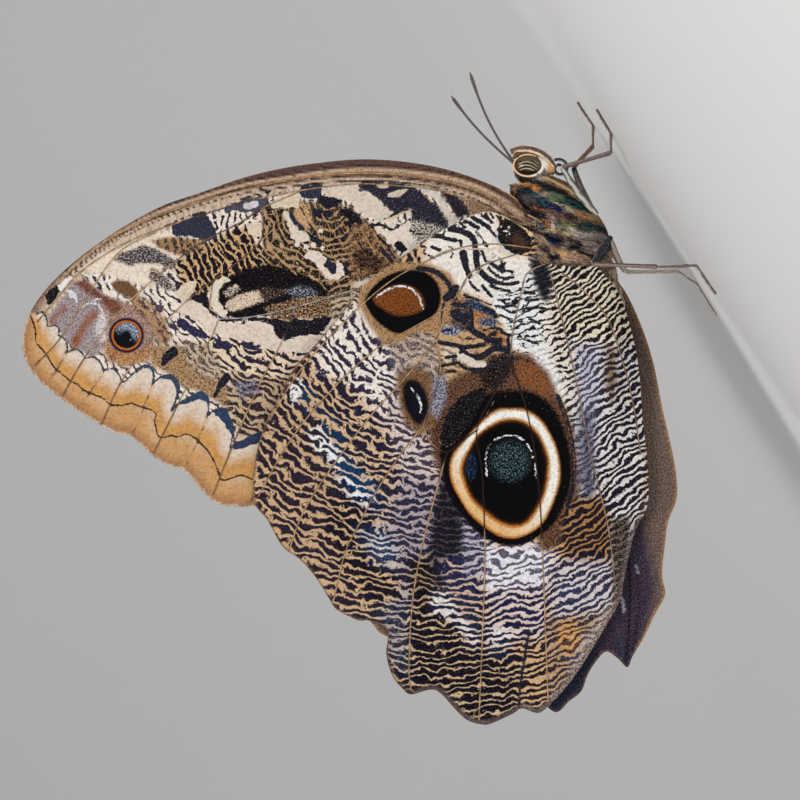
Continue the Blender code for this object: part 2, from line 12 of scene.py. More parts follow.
import bpy
import numpy as np
from mathutils import Matrix, Vector
from mathutils.geometry import delaunay_2d_cdt
from mathutils.kdtree import KDTree


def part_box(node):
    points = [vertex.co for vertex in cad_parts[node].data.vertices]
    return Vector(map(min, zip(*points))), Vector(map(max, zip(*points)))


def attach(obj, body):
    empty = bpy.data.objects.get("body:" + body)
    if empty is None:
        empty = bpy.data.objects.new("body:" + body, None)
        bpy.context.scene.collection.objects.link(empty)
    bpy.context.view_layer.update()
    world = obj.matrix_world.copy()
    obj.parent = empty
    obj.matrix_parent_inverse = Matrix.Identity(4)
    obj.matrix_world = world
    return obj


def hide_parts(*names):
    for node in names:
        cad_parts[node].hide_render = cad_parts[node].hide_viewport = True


MM = 0.001
SQUARE = 0.15

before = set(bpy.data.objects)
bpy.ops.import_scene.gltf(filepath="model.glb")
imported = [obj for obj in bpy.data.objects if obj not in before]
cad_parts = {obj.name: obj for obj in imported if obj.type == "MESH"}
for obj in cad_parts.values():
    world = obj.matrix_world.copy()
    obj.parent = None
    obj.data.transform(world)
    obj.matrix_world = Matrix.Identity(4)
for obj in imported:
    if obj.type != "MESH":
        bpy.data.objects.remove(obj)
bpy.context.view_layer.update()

# Stance
WING_PITCH = math.radians(57.0)
COS_PITCH = math.cos(WING_PITCH)
SIN_PITCH = math.sin(WING_PITCH)
FLOOR = -11.2
THORAX_FRONT = 9.471
SHIFT = np.array([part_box("thorax")[1][0] / MM - THORAX_FRONT, 0.0, -FLOOR])

# Wings
FORE_LAYER = 0.68
HIND_LAYER = 1.92
HIND_LAYER_FREE = 0.8
HIND_SPREAD = 1.12
RELEASE_AT_ROOT = 5.0
RELEASE_AT_TAIL = 14.0
FAR_HIND_TURN = math.radians(6.5)
HIND_HINGE = np.array([0.0, 1.5])
MEMBRANE_HALF = 0.16
MARGIN_HALF = 0.05
VEIN_RISE = 0.12
VEIN_HALF_ROOT = 0.22
VEIN_HALF_TIP = 0.12
PLEAT = 0.1
WEB_STEP = 0.38

FORE_OUTLINE = [
    (3.4, -0.8), (7.2, -1.4), (9.3, -3.6), (14.2, -6.0), (20.2, -7.9), (26.2, -8.9), (32.2, -9.2),
    (38.2, -8.7), (44.2, -7.8), (50.2, -6.3), (56.2, -4.2), (62.2, -2.1), (68.2, 1.2), (74.2, 5.4),
    (78.8, 9.6), (81.8, 13.8), (83.0, 17.7), (82.5, 21.0), (80.5, 24.0), (77.1, 26.8), (73.3, 29.5),
    (69.1, 31.8), (66.6, 32.5), (63.3, 35.4), (61.0, 36.8), (58.6, 37.6), (55.5, 41.1), (53.9, 42.4),
    (51.8, 42.9), (48.8, 43.0), (45.4, 42.6), (41.2, 39.0), (32.2, 29.2), (21.8, 18.0), (12.8, 9.0),
    (6.8, 4.6), (3.2, 3.2),
]
HIND_OUTLINE = [
    (3.0, 3.6), (8.2, 0.9), (11.2, -0.8), (13.9, -1.2), (17.7, 0.4), (20.4, 1.9), (25.8, 5.4),
    (31.3, 9.4), (35.2, 14.1), (39.2, 18.9), (42.4, 22.6), (45.3, 28.2), (46.9, 31.8), (47.9, 35.5),
    (48.3, 40.2), (47.9, 42.8), (46.2, 44.9), (43.9, 48.9), (41.2, 51.0), (39.0, 53.5), (36.8, 57.0),
    (35.7, 58.5), (32.5, 60.1), (31.0, 60.1), (28.2, 61.5), (28.3, 65.2), (27.4, 68.4), (25.9, 70.3),
    (24.6, 71.2), (21.8, 70.5), (20.2, 71.0), (17.6, 73.8), (16.1, 75.1), (14.1, 75.7), (12.6, 75.6),
    (9.3, 74.1), (7.9, 73.3), (5.7, 74.0), (4.2, 73.2), (1.2, 70.0), (-1.6, 66.0), (-5.0, 60.4),
    (-6.9, 56.9), (-7.3, 54.4), (-8.4, 49.2), (-9.2, 46.4), (-10.7, 43.5), (-11.1, 40.6), (-10.9, 36.0),
    (-10.2, 29.8), (-9.6, 22.5), (-8.4, 16.5), (-6.6, 11.2), (-4.6, 8.6), (-1.6, 5.6),
]
FAR_TAIL_FROM = (20.2, 71.0)
FAR_TAIL_TO = (-7.3, 54.4)
FAR_TAIL = [
    (18.2, 71.2), (16.0, 70.4), (13.4, 71.0), (11.0, 73.2), (8.8, 71.8), (6.8, 70.5), (5.6, 68.2),
    (4.1, 66.3), (2.4, 65.0), (0.8, 66.2), (-0.5, 67.7), (-1.5, 66.1), (-3.5, 63.5), (-5.5, 60.3),
    (-7.4, 57.4),
]
FORE_VEINS = [
    [(5.0, 0.4), (11.2, -3.0), (18.0, -5.5), (26.2, -6.9), (38.2, -6.8), (51.3, -4.2), (64.2, -0.1),
     (72.8, 4.6), (77.5, 9.6)],
    [(6.0, 0.8), (14.2, -2.4), (20.2, -4.4), (26.2, -5.2), (34.5, -5.4), (46.9, -3.4), (59.2, 0.2),
     (67.5, 3.4), (74.1, 7.6), (77.4, 11.2), (80.7, 15.2)],
    [(63.1, 1.8), (68.5, 4.8), (72.8, 10.7), (77.2, 17.6), (81.6, 22.3)],
    [(41.2, -4.4), (46.9, -1.9), (50.2, 0.3), (56.2, 3.4), (62.1, 7.9), (68.0, 13.3), (73.6, 20.6),
     (77.1, 26.6)],
    [(46.9, -1.9), (47.2, 3.0), (51.9, 7.2), (57.6, 11.5), (62.8, 16.6), (68.0, 24.0), (71.2, 30.8)],
    [(54.4, 9.3), (54.8, 13.2), (53.5, 14.8), (56.7, 21.6), (59.7, 27.8), (63.3, 35.0)],
    [(7.0, 2.4), (14.2, 4.5), (21.8, 6.9), (31.9, 10.0), (42.0, 13.0), (48.8, 14.5), (53.5, 14.8)],
    [(42.0, 13.0), (43.9, 18.0), (47.5, 24.9), (51.0, 32.9), (54.3, 41.1)],
    [(31.9, 10.0), (36.0, 18.0), (41.2, 27.0), (46.0, 36.0), (48.8, 42.4)],
]
HIND_VEINS = [
    [(5.4, 4.4), (12.4, 3.6), (17.7, 4.3), (23.2, 6.6), (28.3, 9.6), (34.4, 15.0), (41.2, 22.5),
     (45.8, 30.0)],
    [(9.0, 5.2), (14.1, 6.9), (16.3, 8.7), (17.4, 10.9), (20.2, 13.7), (26.6, 17.4), (31.0, 20.2),
     (38.2, 27.3), (43.2, 33.8), (47.5, 41.4)],
    [(20.2, 13.7), (20.8, 17.8), (25.6, 23.8), (30.8, 29.5), (37.0, 37.8), (40.8, 43.9), (42.9, 49.5)],
    [(20.8, 17.8), (20.2, 22.6), (21.6, 27.4), (22.8, 30.9)],
    [(22.8, 30.9), (21.6, 33.4), (19.2, 34.8), (16.9, 33.1), (14.7, 31.5)],
    [(22.8, 30.9), (25.9, 34.8), (29.7, 40.5), (32.7, 46.2), (34.5, 49.9), (36.3, 57.3)],
    [(19.2, 34.8), (20.2, 38.5), (22.5, 47.2), (24.3, 56.5), (24.9, 66.8), (24.6, 70.5)],
    [(4.6, 6.6), (7.2, 8.0), (8.1, 11.0), (9.4, 17.2), (9.8, 21.0), (12.0, 25.8), (14.7, 31.5),
     (13.9, 38.1), (13.5, 50.1), (13.9, 63.0), (14.4, 75.0)],
    [(9.8, 21.0), (7.2, 28.6), (5.5, 38.9), (4.8, 51.0), (4.3, 64.5), (4.0, 72.3)],
    [(3.6, 8.4), (2.1, 14.2), (-0.3, 24.6), (-2.4, 35.2), (-5.0, 46.0), (-6.1, 54.8)],
    [(2.0, 8.0), (-0.8, 10.2), (-4.6, 14.5), (-7.0, 21.0), (-8.7, 27.3), (-9.9, 35.0)],
]

# Body: stations of (forward, up, half depth, half width), and of some the forward lean
TRUNK = [
    (12.75, 1.1, 0.5, 0.45), (12.4, 1.1, 1.0, 0.8), (11.8, 1.15, 1.6, 1.1), (10.8, 1.2, 2.1, 1.3),
    (9.6, 1.2, 2.1, 1.3), (8.6, 1.2, 1.75, 1.2), (7.75, 1.2, 1.3, 1.2), (7.78, 1.7, 2.3, 1.7, 0.43),
    (7.4, 2.2, 3.35, 2.4, 0.54), (4.65, 1.8, 3.9, 3.3, 0.31), (2.6, 1.5, 4.0, 3.95, 0.12),
    (0.6, 1.2, 4.2, 4.4), (-2.2, 1.0, 4.3, 4.4), (-4.8, 0.9, 3.8, 3.9), (-6.6, 0.7, 2.9, 3.0),
    (-7.9, 0.6, 2.1, 2.2),
]
THORAX_CORE = (-0.4, 1.1, 8.0, 4.9, 4.95)
ABDOMEN_START = (-8.15, 0.6)
ABDOMEN_BEND = (-16.5, 4.4)
ABDOMEN_END = (-28.2, 11.7)
ABDOMEN_GIRTH = [(0.0, 2.3), (0.25, 3.1), (0.45, 3.2), (0.65, 2.8), (0.85, 2.0), (0.96, 1.2), (1.0, 0.6)]
COAT_DEPTH = 0.25
TRUNK_NODES = ["thorax", "head", "abdomen"]
# Piece, span (from, to) along the body, hairs, and their lengths, half widths and how far they stand up
COATS = [
    ("head_hair", 7.76, 13.2, 5200, (0.45, 0.95), (0.05, 0.08), (0.25, 0.7)),
    ("thorax_hair", -8.4, 8.2, 19000, (0.4, 0.8), (0.05, 0.08), (0.05, 0.22)),
    ("thorax_strands", -8.4, 8.2, 19000, (0.7, 1.4), (0.03, 0.05), (0.05, 0.2)),
    ("abdomen_hair", -30.0, -8.0, 7500, (0.45, 0.9), (0.05, 0.09), (0.08, 0.25)),
]
LIMB_HAIR_WIDTH = (0.035, 0.06)
BLADE_POINTS = 7

EYE_PLACE = (10.75, 1.4)
EYE_SEAT = 1.7
EYE_LONG = 2.1
EYE_SHORT = 1.55
EYE_BULGE = 1.3

ANTENNA_ROOT = (12.15, 2.88)
ANTENNA_ROOT_SIDE = 0.75
ANTENNA_REACH = 14.4
ANTENNA_ARCH = 0.35
ANTENNA_DROOP = 1.1
ANTENNA_RAISE_L = 0.2
ANTENNA_SPREAD = math.radians(44.0)
ANTENNA_RADIUS = 0.2
ANTENNA_CLUB = 0.29
ANTENNA_RINGS = 46

PALP_PATH = [(8.5, -1.85), (9.85, -1.72), (11.25, -1.22), (12.58, -0.25), (13.45, 1.0), (13.85, 2.1)]
PALP_RADII = [0.36, 0.47, 0.5, 0.47, 0.44, 0.3]
PALP_SIDE = 1.6
FACE_LINE = [
    (514, 157), (518, 153.5), (525, 151.5), (533, 152.5), (540, 156.5), (546, 162), (550, 167), (551, 172),
]
FACE_OUT = [1.1, 1.2, 1.3, 1.35, 1.4, 1.4, 1.35, 1.2]
FACE_RADII = [0.2, 0.25, 0.3, 0.35, 0.45, 0.62, 0.68, 0.5]

PROBOSCIS_CENTRE = (7.85, -2.42)
PROBOSCIS_OUTER = 1.5
PROBOSCIS_INNER = 0.42
PROBOSCIS_TURNS = 1.3
PROBOSCIS_RADIUS = 0.24
PROBOSCIS_END = math.radians(40)
PROBOSCIS_BANDS = [
    (0.75, 0xC4C6CC), (0.35, 0x545A6A), (-0.4, 0x424454), (-1, 0x3A2C28),
]

FORELEG = [(2.6, 3.05, -2.75), (4.4, 3.0, -2.0), (5.9, 2.65, -1.2), (7.2, 2.25, -0.4), (8.1, 1.95, 0.35)]
FORELEG_RADII = [0.34, 0.4, 0.38, 0.3, 0.14]
MIDLEG_R = {"hip": (-1.2, 3.05, -3.2), "knee": (7.6, 7.0, -2.4), "ankle": (5.4, 8.9, -9.6),
            "toe": (11.8, 12.9, FLOOR)}
HINDLEG_R = {"hip": (-5.0, 2.8, -3.2), "knee": (-7.0, 8.0, 1.6), "ankle": (-12.6, 9.0, -6.2),
             "toe": (-20.6, 11.4, FLOOR)}
MIDLEG_L = {"hip": (-1.2, 3.05, -3.2), "knee": (7.0, 7.7, -4.7), "ankle": (8.2, 13.1, -9.3),
            "toe": (15.2, 14.1, FLOOR)}
HINDLEG_L = {"hip": (-5.0, 2.8, -3.2), "knee": (-10.7, 7.5, -2.7), "ankle": (-15.1, 11.1, -9.7),
             "toe": (-23.8, 13.6, FLOOR)}
FEMUR_RADIUS = 0.52
TIBIA_RADIUS = 0.36
TARSUS_RADIUS = 0.29
# Radii along the thigh and the shank, in shares of theirs, and where the foot's joints lie along it
THIGH_SHAPE = (0.72, 1.06, 1.12, 1.02, 0.86, 0.76)
SHANK_SHAPE = (1.15, 0.92, 0.86, 0.88, 1.05)
FOOT_JOINTS = (0.0, 0.42, 0.58, 0.71, 0.82, 1.0)

# Camera and room
VIEW_CENTRE = (-8.32, 36.7)
VIEW_WIDTH = 120.0
VIEW_DISTANCE = 700.0
SENSOR = 36.0
# Place, size and power of each lamp, in metres and watts, and the place that they face
LAMPS = [
    ("key", (0.35, -0.55, 0.5), 0.35, 3.4), ("fill", (-0.5, -0.5, 0.14), 0.5, 1.6),
    ("back", (0.1, 0.4, 0.7), 0.5, 0.8),
]
LAMP_AIM = (0, 0, 0.045)

RANDOM = np.random.default_rng(7)


def paint(code):
    """A display colour, written 0xRRGGBB, as linear light."""
    found = []
    for place in (16, 8, 0):
        share = (code >> place & 255) / 255.0
        found.append(share / 12.92 if share < 0.04045 else ((share + 0.055) / 1.055) ** 2.4)
    return np.array((*found, 1.0))


def spread(code, count):
    """The same colour at every point."""
    return np.tile(paint(code), (count, 1))


def wash(ground, code, mask):
    """Moves the points' colours toward one colour, each by its share."""
    ground += (paint(code) - ground) * mask[:, None]


def between(first, second, share):
    """Each point's colour on the way from one colour to another."""
    return paint(first) + (paint(second) - paint(first)) * share[:, None]


# Curves and distances

def smoothstep(low, high, value):
    """0 up to low, 1 from high, and smooth between them."""
    t = np.clip((value - low) / (high - low), 0.0, 1.0)
    return t * t * (3 - 2 * t)


def smooth_path(points, step, closed=False):
    """Points about `step` apart on a smooth curve through the given ones."""
    pts = np.array(points, dtype=float)
    count = len(pts)
    found = []
    for i in range(count if closed else count - 1):
        p1 = pts[i]
        p2 = pts[(i + 1) % count]
        p0 = pts[i - 1] if (closed or i > 0) else 2 * p1 - p2
        p3 = pts[(i + 2) % count] if (closed or i + 2 < count) else 2 * p2 - p1
        pieces = max(1, round(float(np.linalg.norm(p2 - p1)) / step))
        t = (np.arange(pieces) / pieces)[:, None]
        found.append(0.5 * (2 * p1 + (p2 - p0) * t + (2 * p0 - 5 * p1 + 4 * p2 - p3) * t * t
                            + (3 * p1 - p0 - 3 * p2 + p3) * t ** 3))
    if not closed:
        found.append(pts[-1:])
    return np.concatenate(found)


def line_distance(p, line):
    """Distance from each point to a polyline, and the share of its length at the nearest place."""
    best = np.full(len(p), 1e9)
    share = np.zeros(len(p))
    count = len(line) - 1
    for i in range(count):
        a = line[i]
        ab = line[i + 1] - a
        t = np.clip(((p - a) @ ab) / max(ab @ ab, 1e-12), 0.0, 1.0)
        d = np.linalg.norm(p - a - t[:, None] * ab, axis=1)
        nearer = d < best
        best[nearer] = d[nearer]
        share[nearer] = (i + t[nearer]) / count
    return best, share


def inside(p, loop):
    """True for each point that lies inside a closed outline."""
    odd = np.zeros(len(p), dtype=bool)
    for a, b in zip(loop, np.roll(loop, -1, axis=0)):
        if a[1] == b[1]:
            continue
        spans = (a[1] > p[:, 1]) != (b[1] > p[:, 1])
        cross = p[:, 0] < a[0] + (p[:, 1] - a[1]) * (b[0] - a[0]) / (b[1] - a[1])
        odd ^= spans & cross
    return odd


def depth_in(p, loop):
    """Distance from each point to a closed outline, counted negative outside it."""
    d, _ = line_distance(p, np.concatenate([loop, loop[:1]]))
    return np.where(inside(p, loop), d, -d)


def plate(*places):
    """Chart places of plate squares."""
    return np.array([((575.0 - x) * SQUARE, (y - 220.0) * SQUARE) for x, y in places])


# Wing form

def chart_to_body(p):
    """Chart (outward, hindward) to body (forward, up)."""
    return p[:, 0] * COS_PITCH - p[:, 1] * SIN_PITCH, p[:, 0] * SIN_PITCH + p[:, 1] * COS_PITCH


def body_to_chart(x, z):
    """Body (forward, up) to chart (outward, hindward)."""
    return x * COS_PITCH + z * SIN_PITCH, z * COS_PITCH - x * SIN_PITCH


def body_swell(r, width):
    """Height of a sheet that lies on a rounded body of this half width and eases off it."""
    hug = 0.6
    over = width * np.sqrt(np.clip(1 - r * r, 0.0, 1.0))
    past = width * math.sqrt(1 - hug * hug) * np.exp(-hug / (1 - hug * hug) * (r - hug))
    return np.where(r < hug, over, past)


def abdomen_path(count):
    """Points along the abdomen's middle line, a bend between its two ends."""
    a = np.array([ABDOMEN_START[0], 0, ABDOMEN_START[1]])
    b = np.array([ABDOMEN_BEND[0], 0, ABDOMEN_BEND[1]])
    c = np.array([ABDOMEN_END[0], 0, ABDOMEN_END[1]])
    t = np.linspace(0, 1, count)[:, None]
    return a * (1 - t) ** 2 + b * 2 * t * (1 - t) + c * t * t


def abdomen_girth(t):
    """The abdomen's radius at a share of its length."""
    return np.interp(t, [g[0] for g in ABDOMEN_GIRTH], [g[1] for g in ABDOMEN_GIRTH])


def wing_stand_off(x, z):
    """How far the body pushes a closed wing away from the middle plane at (forward, up)."""
    cx, cz, half_length, half_depth, width = THORAX_CORE
    thorax = body_swell(np.hypot((x - cx) / half_length, (z - cz) / half_depth), width)
    d, t = line_distance(np.stack([x, z], axis=1), abdomen_path(12)[:, [0, 2]])
    core = np.maximum(abdomen_girth(t) + 0.25, 1.6)
    abdomen = body_swell(d / core, core)
    return (thorax ** 4 + abdomen ** 4) ** 0.25


def fore_height(x, z):
    """The fore wing's distance from the middle plane."""
    return FORE_LAYER + wing_stand_off(x, z)


def hind_height(x, z):
    """The hind wing lies on the fore wing, and sinks back toward the middle plane below it."""
    outward, hindward = body_to_chart(x, z)
    past_fore_wing = (hindward - 3.8 - (outward - 6.8)) * 0.707
    release = RELEASE_AT_ROOT + (RELEASE_AT_TAIL - RELEASE_AT_ROOT) * smoothstep(5.0, 25.0, hindward)
    free = smoothstep(1.0, release, past_fore_wing)
    layer = HIND_LAYER + (HIND_LAYER_FREE - HIND_LAYER) * free
    return layer + HIND_SPREAD * wing_stand_off(x, z)


def worn_outline():
    """The left hind wing's margin, whose tail is worn shorter than the right one's."""
    first = HIND_OUTLINE.index(FAR_TAIL_FROM)
    last = HIND_OUTLINE.index(FAR_TAIL_TO)
    return HIND_OUTLINE[:first + 1] + FAR_TAIL + HIND_OUTLINE[last:]


def turned(p, angle):
    """Chart points turned about the hind wing's hinge."""
    arm = p - HIND_HINGE
    c = math.cos(angle)
    s = math.sin(angle)
    return HIND_HINGE + np.stack([arm[:, 0] * c - arm[:, 1] * s, arm[:, 0] * s + arm[:, 1] * c], axis=1)


def wing_web(outline_points, vein_points, crease_lines):
    """Chart points and triangles of a wing, with points along its margin, veins and fine lines."""
    outline = smooth_path(outline_points, WEB_STEP, closed=True)
    rim = np.concatenate([outline, outline[:1]])
    lines = []
    for line in vein_points:
        path = smooth_path(line, WEB_STEP)
        along = np.gradient(path, axis=0)
        along /= np.linalg.norm(along, axis=1)[:, None]
        across = np.stack([-along[:, 1], along[:, 0]], axis=1)
        half = np.linspace(VEIN_HALF_ROOT, VEIN_HALF_TIP, len(path))[:, None]
        lines += [path + across * half, path, path - across * half]
    lines += [smooth_path(line, WEB_STEP) for line in crease_lines]
    points = [outline]
    edges = [(k, (k + 1) % len(outline)) for k in range(len(outline))]
    count = len(outline)
    for line in lines:
        clear = inside(line, outline) & (line_distance(line, rim)[0] > 0.22)
        fresh = np.cumsum(clear) - 1 + count
        for k in range(len(line) - 1):
            if clear[k] and clear[k + 1]:
                edges.append((int(fresh[k]), int(fresh[k + 1])))
        points.append(line[clear])
        count += int(clear.sum())
    low = outline.min(axis=0)
    high = outline.max(axis=0)
    rows = np.arange(low[1], high[1], WEB_STEP * 0.866)
    columns = np.arange(low[0], high[0], WEB_STEP)
    grid = np.array([(x + (0.5 * WEB_STEP if j % 2 else 0.0), y)
                     for j, y in enumerate(rows) for x in columns])
    grid = grid[inside(grid, outline)]
    fixed = np.concatenate(points)
    tree = KDTree(len(fixed))
    for k, place in enumerate(fixed):
        tree.insert((place[0], place[1], 0.0), k)
    tree.balance()
    clear = [tree.find((x, y, 0.0))[2] > 0.55 * WEB_STEP for x, y in grid]
    points.append(grid[clear])
    made = delaunay_2d_cdt([Vector(p) for p in np.concatenate(points)], edges, [], 1, 1e-4)
    faces = np.array([face for face in made[2] if len(face) == 3])
    verts = np.array([tuple(v) for v in made[0]])
    used = np.unique(faces)
    fresh = np.zeros(len(verts), dtype=int)
    fresh[used] = np.arange(len(used))
    return verts[used], fresh[faces], outline, [smooth_path(v, 0.8) for v in vein_points]


def vein_fields(p, veins):
    """Distance to the nearest vein, its half width there, and the pleat of the sheet between veins."""
    nearest = np.full(len(p), 1e9)
    second = np.full(len(p), 1e9)
    half = np.full(len(p), VEIN_HALF_TIP)
    for line in veins:
        d, t = line_distance(p, line)
        closer = d < nearest
        second = np.where(closer, nearest, np.minimum(second, d))
        half = np.where(closer, VEIN_HALF_ROOT + (VEIN_HALF_TIP - VEIN_HALF_ROOT) * t, half)
        nearest = np.where(closer, d, nearest)
    pleat = smoothstep(0.0, 1.0, 2 * nearest / (nearest + second + 1e-6)) * smoothstep(0.0, 3.0, nearest)
    return nearest, half, pleat


# Shader writing

class Value:
    """A number or a colour inside a material, with plain arithmetic."""

    def __init__(self, nodes, socket):
        self.nodes = nodes
        self.socket = socket

    def __add__(self, other):
        return self.nodes.math("ADD", self, other)

    def __sub__(self, other):
        return self.nodes.math("SUBTRACT", self, other)

    def __rsub__(self, other):
        return self.nodes.math("SUBTRACT", other, self)

    def __mul__(self, other):
        return self.nodes.math("MULTIPLY", self, other)


class Nodes:
    """Short calls for the nodes of one material."""

    def __init__(self, name, roughness, **settings):
        self.material = bpy.data.materials.new(name)
        self.material.use_nodes = True
        self.tree = self.material.node_tree
        self.shader = self.tree.nodes["Principled BSDF"]
        self.shader.inputs["Roughness"].default_value = roughness
        for key, value in settings.items():
            self.shader.inputs[key.replace("_", " ")].default_value = value

    def put(self, value, socket):
        """Links a value to an input, or sets a plain number or vector there."""
        if isinstance(value, Value):
            self.tree.links.new(value.socket, socket)
        elif value is not None:
            socket.default_value = value

    def add(self, kind, output, inputs, **settings):
        """A node with some inputs filled, and the value that it gives."""
        node = self.tree.nodes.new(kind)
        for key, value in settings.items():
            setattr(node, key, value)
        for key, value in inputs.items():
            self.put(value, node.inputs[key])
        return Value(self, node.outputs[output])

    def math(self, operation, a, b=None):
        return self.add("ShaderNodeMath", 0, {0: a, 1: b}, operation=operation)

    def scaled(self, a, factor):
        return self.add("ShaderNodeVectorMath", 0, {0: a, 3: factor}, operation="SCALE")

    def split(self, a):
        """The three parts of a vector."""
        node = self.tree.nodes.new("ShaderNodeSeparateXYZ")
        self.put(a, node.inputs[0])
        return [Value(self, output) for output in node.outputs]

    def field(self, name, output="Vector"):
        """What the mesh carries at each point under this name."""
        return self.add("ShaderNodeAttribute", output, {}, attribute_name=name)

    def object_place(self):
        return self.add("ShaderNodeTexCoord", "Object", {})

    def mix(self, factor, a, b):
        """From colour a to colour b, each a value or a colour code."""
        a, b = (paint(c) if isinstance(c, int) else c for c in (a, b))
        return self.add("ShaderNodeMix", 2, {0: factor, 6: a, 7: b}, data_type="RGBA", clamp_factor=True)

    def blend(self, factor, a, b):
        """The same for plain numbers."""
        return a + factor * (b - a)

    def smooth(self, low, high, value):
        inputs = {0: value, 1: low, 2: high}
        return self.add("ShaderNodeMapRange", 0, inputs, interpolation_type="SMOOTHSTEP")

    def noise(self, place, scale, detail=2.0, rough=0.5):
        inputs = {"Vector": place, "Scale": scale, "Detail": detail, "Roughness": rough}
        return self.add("ShaderNodeTexNoise", "Fac", inputs)

    def cells(self, place, scale, output="Distance"):
        return self.add("ShaderNodeTexVoronoi", output, {"Vector": place, "Scale": scale})

    def ramp(self, factor, stops):
        """A colour between stops of (factor, colour code)."""
        node = self.tree.nodes.new("ShaderNodeValToRGB")
        elements = node.color_ramp.elements
        while len(elements) < len(stops):
            elements.new(0.5)
        for element, (place, code) in zip(elements, stops):
            element.position = place
            element.color = paint(code)
        self.put(factor, node.inputs[0])
        return Value(self, node.outputs[0])

    def bump(self, height, strength, distance):
        """Roughens the surface by a height."""
        inputs = {"Strength": strength, "Distance": distance, "Height": height}
        self.put(self.add("ShaderNodeBump", 0, inputs), self.shader.inputs["Normal"])

    def finish(self, base):
        """Sets the base colour and gives the material."""
        self.put(base, self.shader.inputs["Base Color"])
        return self.material


# Wing markings

TAN = 0xD8AC76
CREAM = 0xE8DACC
WHITE = 0xF0EAE6
NAVY = 0x222038
SOOT = 0x141116
UMBER = 0x3E2A22
BLACK = 0x000000
# Distance in mm that stands for no mark, and the eyespot value that stands for no eyespot
FAR_FROM_MARK = -2.0
NO_SPOT = 3.0


def ragged_edge(p):
    """An uneven offset in millimetres for the outlines of large marks."""
    x, y = p[:, 0], p[:, 1]
    broad = np.sin(4.1 * x + 1.4 * np.sin(2.9 * y)) + np.sin(4.7 * y + 1.6 * np.sin(3.3 * x))
    narrow = np.sin(9.3 * x + 2.0 * np.sin(6.1 * y)) * np.sin(8.7 * y + 1.5 * np.sin(7.0 * x))
    return 0.11 * broad + 0.1 * narrow


class Sheet:
    """Colours and fields at the points of one wing's chart."""

    def __init__(self, p, light, dark):
        self.p = p
        count = len(p)
        self.light = spread(light, count)
        self.dark = spread(dark, count)
        self.share = np.full(count, 0.5)
        self.cellular = np.full(count, 0.5)
        self.strength = np.ones(count)
        self.speck = np.zeros(count)
        self.ink = np.full(count, FAR_FROM_MARK)
        self.pale = np.full(count, FAR_FROM_MARK)
        self.ink_colour = spread(SOOT, count)
        self.pale_colour = spread(CREAM, count)
        self.vein = spread(0xCCA678, count)

    def near(self, line, reach):
        """Indices of the points within reach of a mark's box."""
        low = line.min(axis=0) - reach
        high = line.max(axis=0) + reach
        return np.nonzero(((self.p > low) & (self.p < high)).all(axis=1))[0]

    def mask(self, loop, soft):
        """1 inside a soft-edged outline, 0 outside."""
        loop = plate(*loop)
        found = np.zeros(len(self.p))
        k = self.near(loop, soft)
        found[k] = smoothstep(-soft, soft, depth_in(self.p[k], loop))
        return found

    def stroke(self, line, half, soft):
        """1 on a soft-edged line of some half width, 0 off it."""
        line = plate(*line)
        found = np.zeros(len(self.p))
        k = self.near(line, half + soft)
        found[k] = 1 - smoothstep(half - soft, half + soft, line_distance(self.p[k], line)[0])
        return found

    def tint(self, mask, light=None, dark=None, **levels):
        """Moves colours and levels toward new ones, each point by its share."""
        for ground, code in ((self.light, light), (self.dark, dark)):
            if code is not None:
                wash(ground, code, mask)
        for name, level in levels.items():
            field = getattr(self, name)
            field += (level - field) * mask

    def draw(self, kind, shape, code, half=None):
        """Adds a scaly-edged mark, ink or pale: a closed shape, or a line of some half width."""
        field = getattr(self, kind)
        path = smooth_path(plate(*shape), 0.5, closed=half is None)
        k = self.near(path, -FAR_FROM_MARK)
        if half is None:
            d = depth_in(self.p[k], path)
            if len(d):
                d = d + ragged_edge(self.p[k]) * smoothstep(0.3, 0.9, d.max())
        else:
            d = half - line_distance(self.p[k], path)[0]
        getattr(self, f"{kind}_colour")[k[(d > field[k]) & (d > -1.0)]] = paint(code)
        field[k] = np.maximum(field[k], d)


def ring_field(p, loops):
    """A field that takes the value of each nested outline on it, and is smooth between them."""
    depths = [depth_in(p, smooth_path(plate(*loop), 0.5, closed=True)) for loop, _ in loops]
    values = [value for _, value in loops]
    found = values[0] - depths[0] * 0.1
    for k in range(len(loops) - 1):
        within = depths[k] > 0
        span = depths[k] + np.maximum(-depths[k + 1], 0.0)
        t = depths[k] / np.maximum(span, 1e-6)
        found = np.where(within, values[k] + (values[k + 1] - values[k]) * t, found)
    last = depths[-1] > 0
    return np.where(last, np.maximum(values[-1] - depths[-1] * 0.1, 0.0), found)


BIG_OUTER = [
    (495, 410), (510, 408), (525, 409), (540, 418), (550, 432), (558, 450), (561, 468), (560, 485),
    (550, 512), (542, 525), (530, 534), (515, 539), (500, 537), (485, 528), (470, 515), (460, 500),
    (452, 485), (449, 470), (452, 455), (460, 445), (475, 428),
]
BIG_INNER = [
    (485, 430), (500, 422), (515, 420), (528, 425), (538, 435), (545, 450), (548, 465), (543, 495),
    (528, 520), (515, 525), (500, 521), (485, 510), (472, 497), (465, 480), (463, 465), (475, 440),
]
BIG_HALO = [
    (446, 428), (458, 410), (476, 396), (494, 391), (512, 389), (535, 392), (553, 406), (566, 432),
    (572, 465), (570, 490), (560, 515), (548, 530), (532, 540), (515, 545), (496, 543), (478, 533),
    (462, 515), (449, 495), (442, 470), (440, 448),
]
BIG_DUST = ((510, 461), (25, 25), (471, 466), (7, 15))
# White arcs in the great eyespot's black middle: partly white scales, partly painted highlight.
BIG_ARCS_AND_HIGHLIGHTS = [
    [(487, 476), (486, 462), (487, 451), (491, 443)], [(494, 440), (500, 437), (507, 435)],
    [(510, 435), (517, 436), (524, 440)], [(527, 443), (531, 450), (533, 458)], [(535, 464), (536, 478)],
]
